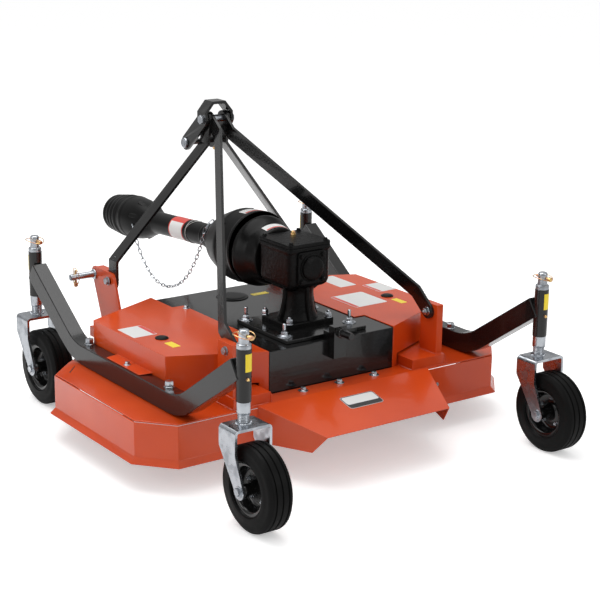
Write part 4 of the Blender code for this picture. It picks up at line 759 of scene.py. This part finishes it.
for i, (middle, beyond) in enumerate(zip(middles, ahead)):
    along = (beyond - middle) / np.linalg.norm(beyond - middle)
    level = np.cross(along, (1.0, 0, 0))
    level /= np.linalg.norm(level)
    across = np.cross(along, level)
    wide = (level + across) / 2 ** 0.5 if i % 2 else (across - level) / 2 ** 0.5
    links += put(link, np.column_stack((wide, np.cross(along, wide), along, middle)))
chain = meshed("chain_links", links, zinc)
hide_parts("guard_chain")
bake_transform(chain)
hook_out = line[:, :3] @ (-cos(turns[0]), sin(turns[0]), 0)
hook = line[:, :3] @ (-0.063 * cos(turns[0]), 0.063 * sin(turns[0]), HOOK_PLACE) + line[:, 3]
peg = turn([(0, 0.011), (0.0022, 0.0105), (0.0022, 0.002), (0.0055, 0.0015), (0.0055, -0.002),
            (0, -0.002)], 14)
dress("chain_hook", put(peg, spot(*hook, hook_out)), zinc, slot="zinc_plating")


# Mast bolt, hitch pins and their fasteners: zinc-plated bolts with hexagon heads, washers and nuts.
# Linch pins in yellow zinc hold the lower pins and the top pin.
rounded("mast_bolt", zinc, 0.0006)
TOP_PIN = (0.370, 0.855)
top_head = spot(-0.055, *TOP_PIN, (-1, 0, 0))
crown = turn(smooth([(0, 0.0098), (0.0135, 0.0095), (0.0178, 0.0075), (0.0182, 0.0), (0, 0.0)], 1), 32)
ridge = turn([(0.0105, 0.0102), (0.0105, 0.0088), (0.0125, 0.0088), (0.0125, 0.0102), (0.0105, 0.0102)], 32)
bolts("top_pin_head", [(crown, 0), (ridge, 0)], [top_head], zinc, "top_link_clevis", slot="zinc_plating")
far_end = turn([(0, 0.0135), (0.0075, 0.0135), (0.0094, 0.0115), (0.0097, -0.001), (0, -0.001)], 24)
bolts("top_pin_end", [(far_end, 0)], [spot(0.055, *TOP_PIN, (1, 0, 0))], zinc, "top_link_clevis",
      slot="zinc_plating")
hang_down = ((0, 1, 0), (1, 0, 0), (0, 0, -1))
dress("top_pin_linch", put_all(linch(0.017, 0.027), np.column_stack((*hang_down, (0.0625, *TOP_PIN)))), gold,
      "top_link_clevis", "zinc_plating")
SHOULDER = 0.3766
PIN_Y, PIN_Z = 0.451, 0.419
pin = turn(smooth([(0, 0.088), (0.0085, 0.088), (0.0108, 0.0855), (0.011, 0.08), (0.011, 0.001), (0.0145, 0),
                   (0.0178, -0.0008), (0.0181, -0.0052), (0.0172, -0.0058), (0.011, -0.0058)], 1), 40)
shank = turn([(0.0109, 0), (0.0109, -0.044), (0.009, -0.046), (0, -0.046)], 24)
for name, side in SIDES:
    axis = spot(side * SHOULDER, PIN_Y, PIN_Z, (side, 0, 0))
    nut = spot(side * (SHOULDER - 0.0145), PIN_Y, PIN_Z, (-side, 0, 0))
    shapes = put(pin, axis) + put(shank, axis)
    shapes += put_all(stack([(washer(0.0185, 0.0026), 0), (hexagon(0.0275, 0.0125), 0.0026)]), nut)
    dress("lower_pin_" + name, shapes, zinc, slot="zinc_plating", nodes=["hitch_pin_" + name])
    through = np.column_stack((*hang_down, (side * 0.4425, PIN_Y, PIN_Z)))
    dress("lower_pin_linch_" + name, put_all(linch(0.021, 0.031), through), gold, slot="zinc_plating")
end_nut = [(washer(0.0145, 0.0022), 0), (hexagon(0.0205, 0.0105), 0.0022), (thread, 0.0175)]
end_head = [(washer(0.0145, 0.0022), 0), (hexagon(0.0205, 0.0085), 0.0022)]
outer_ends = [spot(side * 0.4062, -0.425, 0.387, (side, 0, 0)) for _, side in SIDES]
inner_ends = [spot(side * 0.3712, -0.425, 0.387, (-side, 0, 0)) for _, side in SIDES]
strut_bolts = [spot(side * 0.3768, 0.348, 0.419, (side, 0, 0)) for _, side in SIDES]
strut_nuts = [spot(side * 0.3528, y, z, (-side, 0, 0)) for _, side in SIDES
              for y, z in ((0.348, 0.419), (0.339, 0.488))]
bolts("brace_and_strut_heads", end_head, outer_ends + strut_bolts, zinc, slot="zinc_plating")
bolts("brace_and_strut_nuts", end_nut, inner_ends + strut_nuts, zinc, slot="zinc_plating")


# Fasteners on the covers, rails and chute: plated bolts with washers, a size for each job.
# The rails' bolts are the biggest, and the chute's are flanged.
RAIL_TOP = 0.2781
rail_spots = [spot(side * x, y, RAIL_TOP) for side in (-1, 1) for x, y in ((0.5505, 0.157), (0.5505, -0.340))]
rail_lock = turn(rings(0, 0.0034, 1, 0.0122, 0.0014), 24)
bolts("rail_bolts", [(washer(0.0165, 0.0028), 0), (rail_lock, 0.0026), (hexagon(0.0245, 0.0125), 0.006)],
      rail_spots, zinc, slot="zinc_plating")
flange = turn(smooth([(0.0075, 0.005), (0.0105, 0.0028), (0.0158, 0.0016), (0.0162, 0)], 1), 28)
chute_spots = [spot(x, y, 0.2177) for x, y in ((-0.136, -0.4475), (0.0035, -0.4475), (0.1415, -0.4475))]
bolts("chute_bolts", [(flange, 0), (hexagon(0.0165, 0.0095), 0.002)], chute_spots, zinc, slot="zinc_plating")
cover_spots = [spot(side * 0.5565, -0.100, 0.2815) for side in (-1, 1)]
cover_spots += [spot(side * 0.2095, 0.118, 0.3543) for side in (-1, 1)]
small_flange = turn(smooth([(0.006, 0.0035), (0.0085, 0.002), (0.0122, 0.0012), (0.0124, 0)], 1), 24)
bolts("cover_bolts", [(small_flange, 0), (hexagon(0.0135, 0.0085), 0.0012)], cover_spots, zinc,
      slot="zinc_plating")
skirt_spots = [spot(side * 0.371, -0.4846, 0.154, (0, -1, 0)) for side in (-1, 1)]
bolts("skirt_bolts", [(washer(0.0105, 0.0016), 0), (hexagon(0.0125, 0.0065), 0.0014)], skirt_spots, zinc,
      slot="zinc_plating")
nipple = turn([(0, 0.0105), (0.0024, 0.0100), (0.0036, 0.0078), (0.0026, 0.0060), (0.0048, 0.0048),
               (0.0050, 0), (0, 0)], 16)
SLEEVE = 0.0222
nipples = []
for _, x, post in CASTERS:
    bearing = radians(-97 if post < 0 else 108)
    nipples += put(nipple, spot(x + SLEEVE * cos(bearing), post + SLEEVE * sin(bearing), 0.4275,
                                (cos(bearing), sin(bearing), 0)))
dress("grease_nipples", nipples, gold, slot="zinc_plating")


# Blank labels: thin printed vinyl with rounded corners and nothing on them but their coloured edge.
# White ones with a red edge, yellow ones, and one framed in black on the chute.
def vinyl(name, color):
    """Printed vinyl of one colour, a little uneven in its gloss."""
    made = Finish(name, color, 0.35, Coat_Weight=0.3)
    made.set("Roughness", made.noise(50.0) * 0.2 + 0.25)
    return made


label_white = vinyl("label_white", (0.70, 0.70, 0.69))
label_red = vinyl("label_red", (0.62, 0.035, 0.02))
label_yellow = vinyl("label_yellow", (0.88, 0.66, 0.008))
# The black vinyl is also used further down as the painted shade of the deck slit.
label_black_and_slit_shade = vinyl("label_black_and_slit_shade", (0.015, 0.015, 0.015))
COVER_Z = 0.3543
VINYL = 0.0004


def label(x, y, half_x, half_y, z=COVER_Z, thick=VINYL):
    """A flat label with round corners."""
    return put(block(half_x, half_y, min(half_x, half_y) * 0.12, 0, thick, thick / 4), spot(x, y, z))[0]


def wrapped(radius, angles, places, thick=VINYL):
    """A label round a turned part: x = r cos t, y = r sin t, z = s, t between the angles and s the places."""
    t = np.radians(np.linspace(*angles, 24))
    s = np.linspace(*places, 8)
    radius = np.interp(s, places, np.broadcast_to(radius, 2))[:, None]
    faces = [np.stack(np.broadcast_arrays((radius + lift) * np.cos(t), (radius + lift) * np.sin(t),
                                          s[:, None]), -1) for lift in (thick, -thick)]
    outer, inner = faces
    rim = [np.concatenate((face[0], face[1:, -1], face[-1, -2::-1], face[-2:0:-1, 0])) for face in faces]
    return [grid(outer), grid(inner[:, ::-1]), grid(np.stack(rim), around=True)]


EDGE = VINYL * 1.6
white = [label(-0.4765, -0.0235, 0.0425, 0.0535), label(0.4115, 0.1175, 0.0345, 0.070),
         label(0.3375, -0.1075, 0.0675, 0.0735), label(0.493, -0.0205, 0.0365, 0.050)]
red = [label(-0.4415, -0.0235, 0.0065, 0.050, thick=EDGE), label(0.2785, -0.1075, 0.0065, 0.070, thick=EDGE),
       label(0.4635, -0.0205, 0.0055, 0.0475, thick=EDGE)]
yellow = [label(-0.4535, -0.1985, 0.0138, 0.0272), label(0.4435, -0.1940, 0.0125, 0.0285),
          label(0.1005, 0.1435, 0.0315, 0.0120, z=0.3512)]
white += put_all(wrapped((0.0957, 0.0999), (66, 118), (0.011, 0.039)), cup)
red += put_all(wrapped((0.0960, 0.0968), (68, 117), (0.0115, 0.0165)), cup)
white += put_all(wrapped(0.1231, (72, 118), (-0.046, -0.006)), line)
red += put_all(wrapped(0.1234, (74, 117), (-0.0455, -0.039)), line)
white_tube = put_all(wrapped(0.0392, (-72, 112), (0.362, 0.452)), line)
red_tube = [piece for angles, places in (((-72, 112), (0.3615, 0.3665)), ((-72, 112), (0.4475, 0.4525)),
                                         ((48, 111), (0.366, 0.448)))
            for piece in put_all(wrapped(0.0395, angles, places), line)]
for _, x, post in CASTERS:
    place = np.column_stack((np.eye(3), (x, post, 0)))
    faces = (-112, -52) if post < 0 else (118, 162)
    yellow += put_all(wrapped(0.0226, faces, (0.448, 0.499)), place)
slope = radians(12.7)
badge = np.column_stack(((1, 0, 0), (0, cos(slope), sin(slope)), (0, -sin(slope), cos(slope)),
                         (-0.004, -0.5725, 0.1993)))
field = badge.copy()
field[:, 3] += (0, 0.0082, 0.0018)
black = put(block(0.0635, 0.0325, 0.010, -0.0005, VINYL, VINYL / 4), badge)
white += put(block(0.0645, 0.0335, 0.0105, -0.0008, VINYL / 2, VINYL / 4), badge)
white += put(block(0.0605, 0.0205, 0.0075, 0, VINYL * 1.8, VINYL / 4), field)
for name, shapes, finish, body in (("labels_white", white, label_white, "mower"),
                                   ("labels_red", red, label_red, "mower"),
                                   ("labels_yellow", yellow, label_yellow, "mower"),
                                   ("badge_frame", black, label_black_and_slit_shade, "mower"),
                                   ("tube_label_white", white_tube, label_white, "driveline_front"),
                                   ("tube_label_red", red_tube, label_red, "driveline_front")):
    dress(name, shapes, finish, body, "black_plastic")


# Weld beads, painted over with the orange: round the brace posts, the channels' ends and the hitch brackets.
# Each bead is a row of small swells left by the torch.
DECK_TOP = 0.2147
CHANNEL_TOP = 0.2493
beads = []
for _, side in SIDES:
    corners = [(0.3805, -0.3815), (0.3805, -0.4655), (0.4065, -0.4655), (0.4065, -0.3815), (0.3805, -0.3815)]
    beads.append(weld([(side * x, y, CHANNEL_TOP) for x, y in corners], 0.0024))
    for x in (0.2757, 0.4103):
        beads.append(weld([(side * x, -0.476, DECK_TOP), (side * x, -0.30, DECK_TOP)], 0.0026))
        beads.append(weld([(side * x, -0.4765, DECK_TOP), (side * x, -0.4765, CHANNEL_TOP - 0.004)], 0.002))
    beads.append(weld([(side * 0.2757, -0.4768, DECK_TOP), (side * 0.4103, -0.4768, DECK_TOP)], 0.003))
    for x in (0.3622, 0.3712):
        beads.append(weld([(side * x, 0.254, CHANNEL_TOP), (side * x, 0.395, CHANNEL_TOP)], 0.0026))
dress("weld_beads", beads, orange_paint, slot="orange_paint")
# Painted shade: a thin black sheet laid flush on the deck, its black standing in for the shade inside the
# slit.
slit = np.column_stack(((0.663, 0.749, 0), (-0.749, 0.663, 0), (0, 0, 1), (-0.630, 0.128, 0.2145)))
dress("deck_slit_painted_shade", put(block(0.032, 0.0016, 0.0012, 0, 0.0003, 0.0001), slit), label_black_and_slit_shade,
      slot="orange_paint")
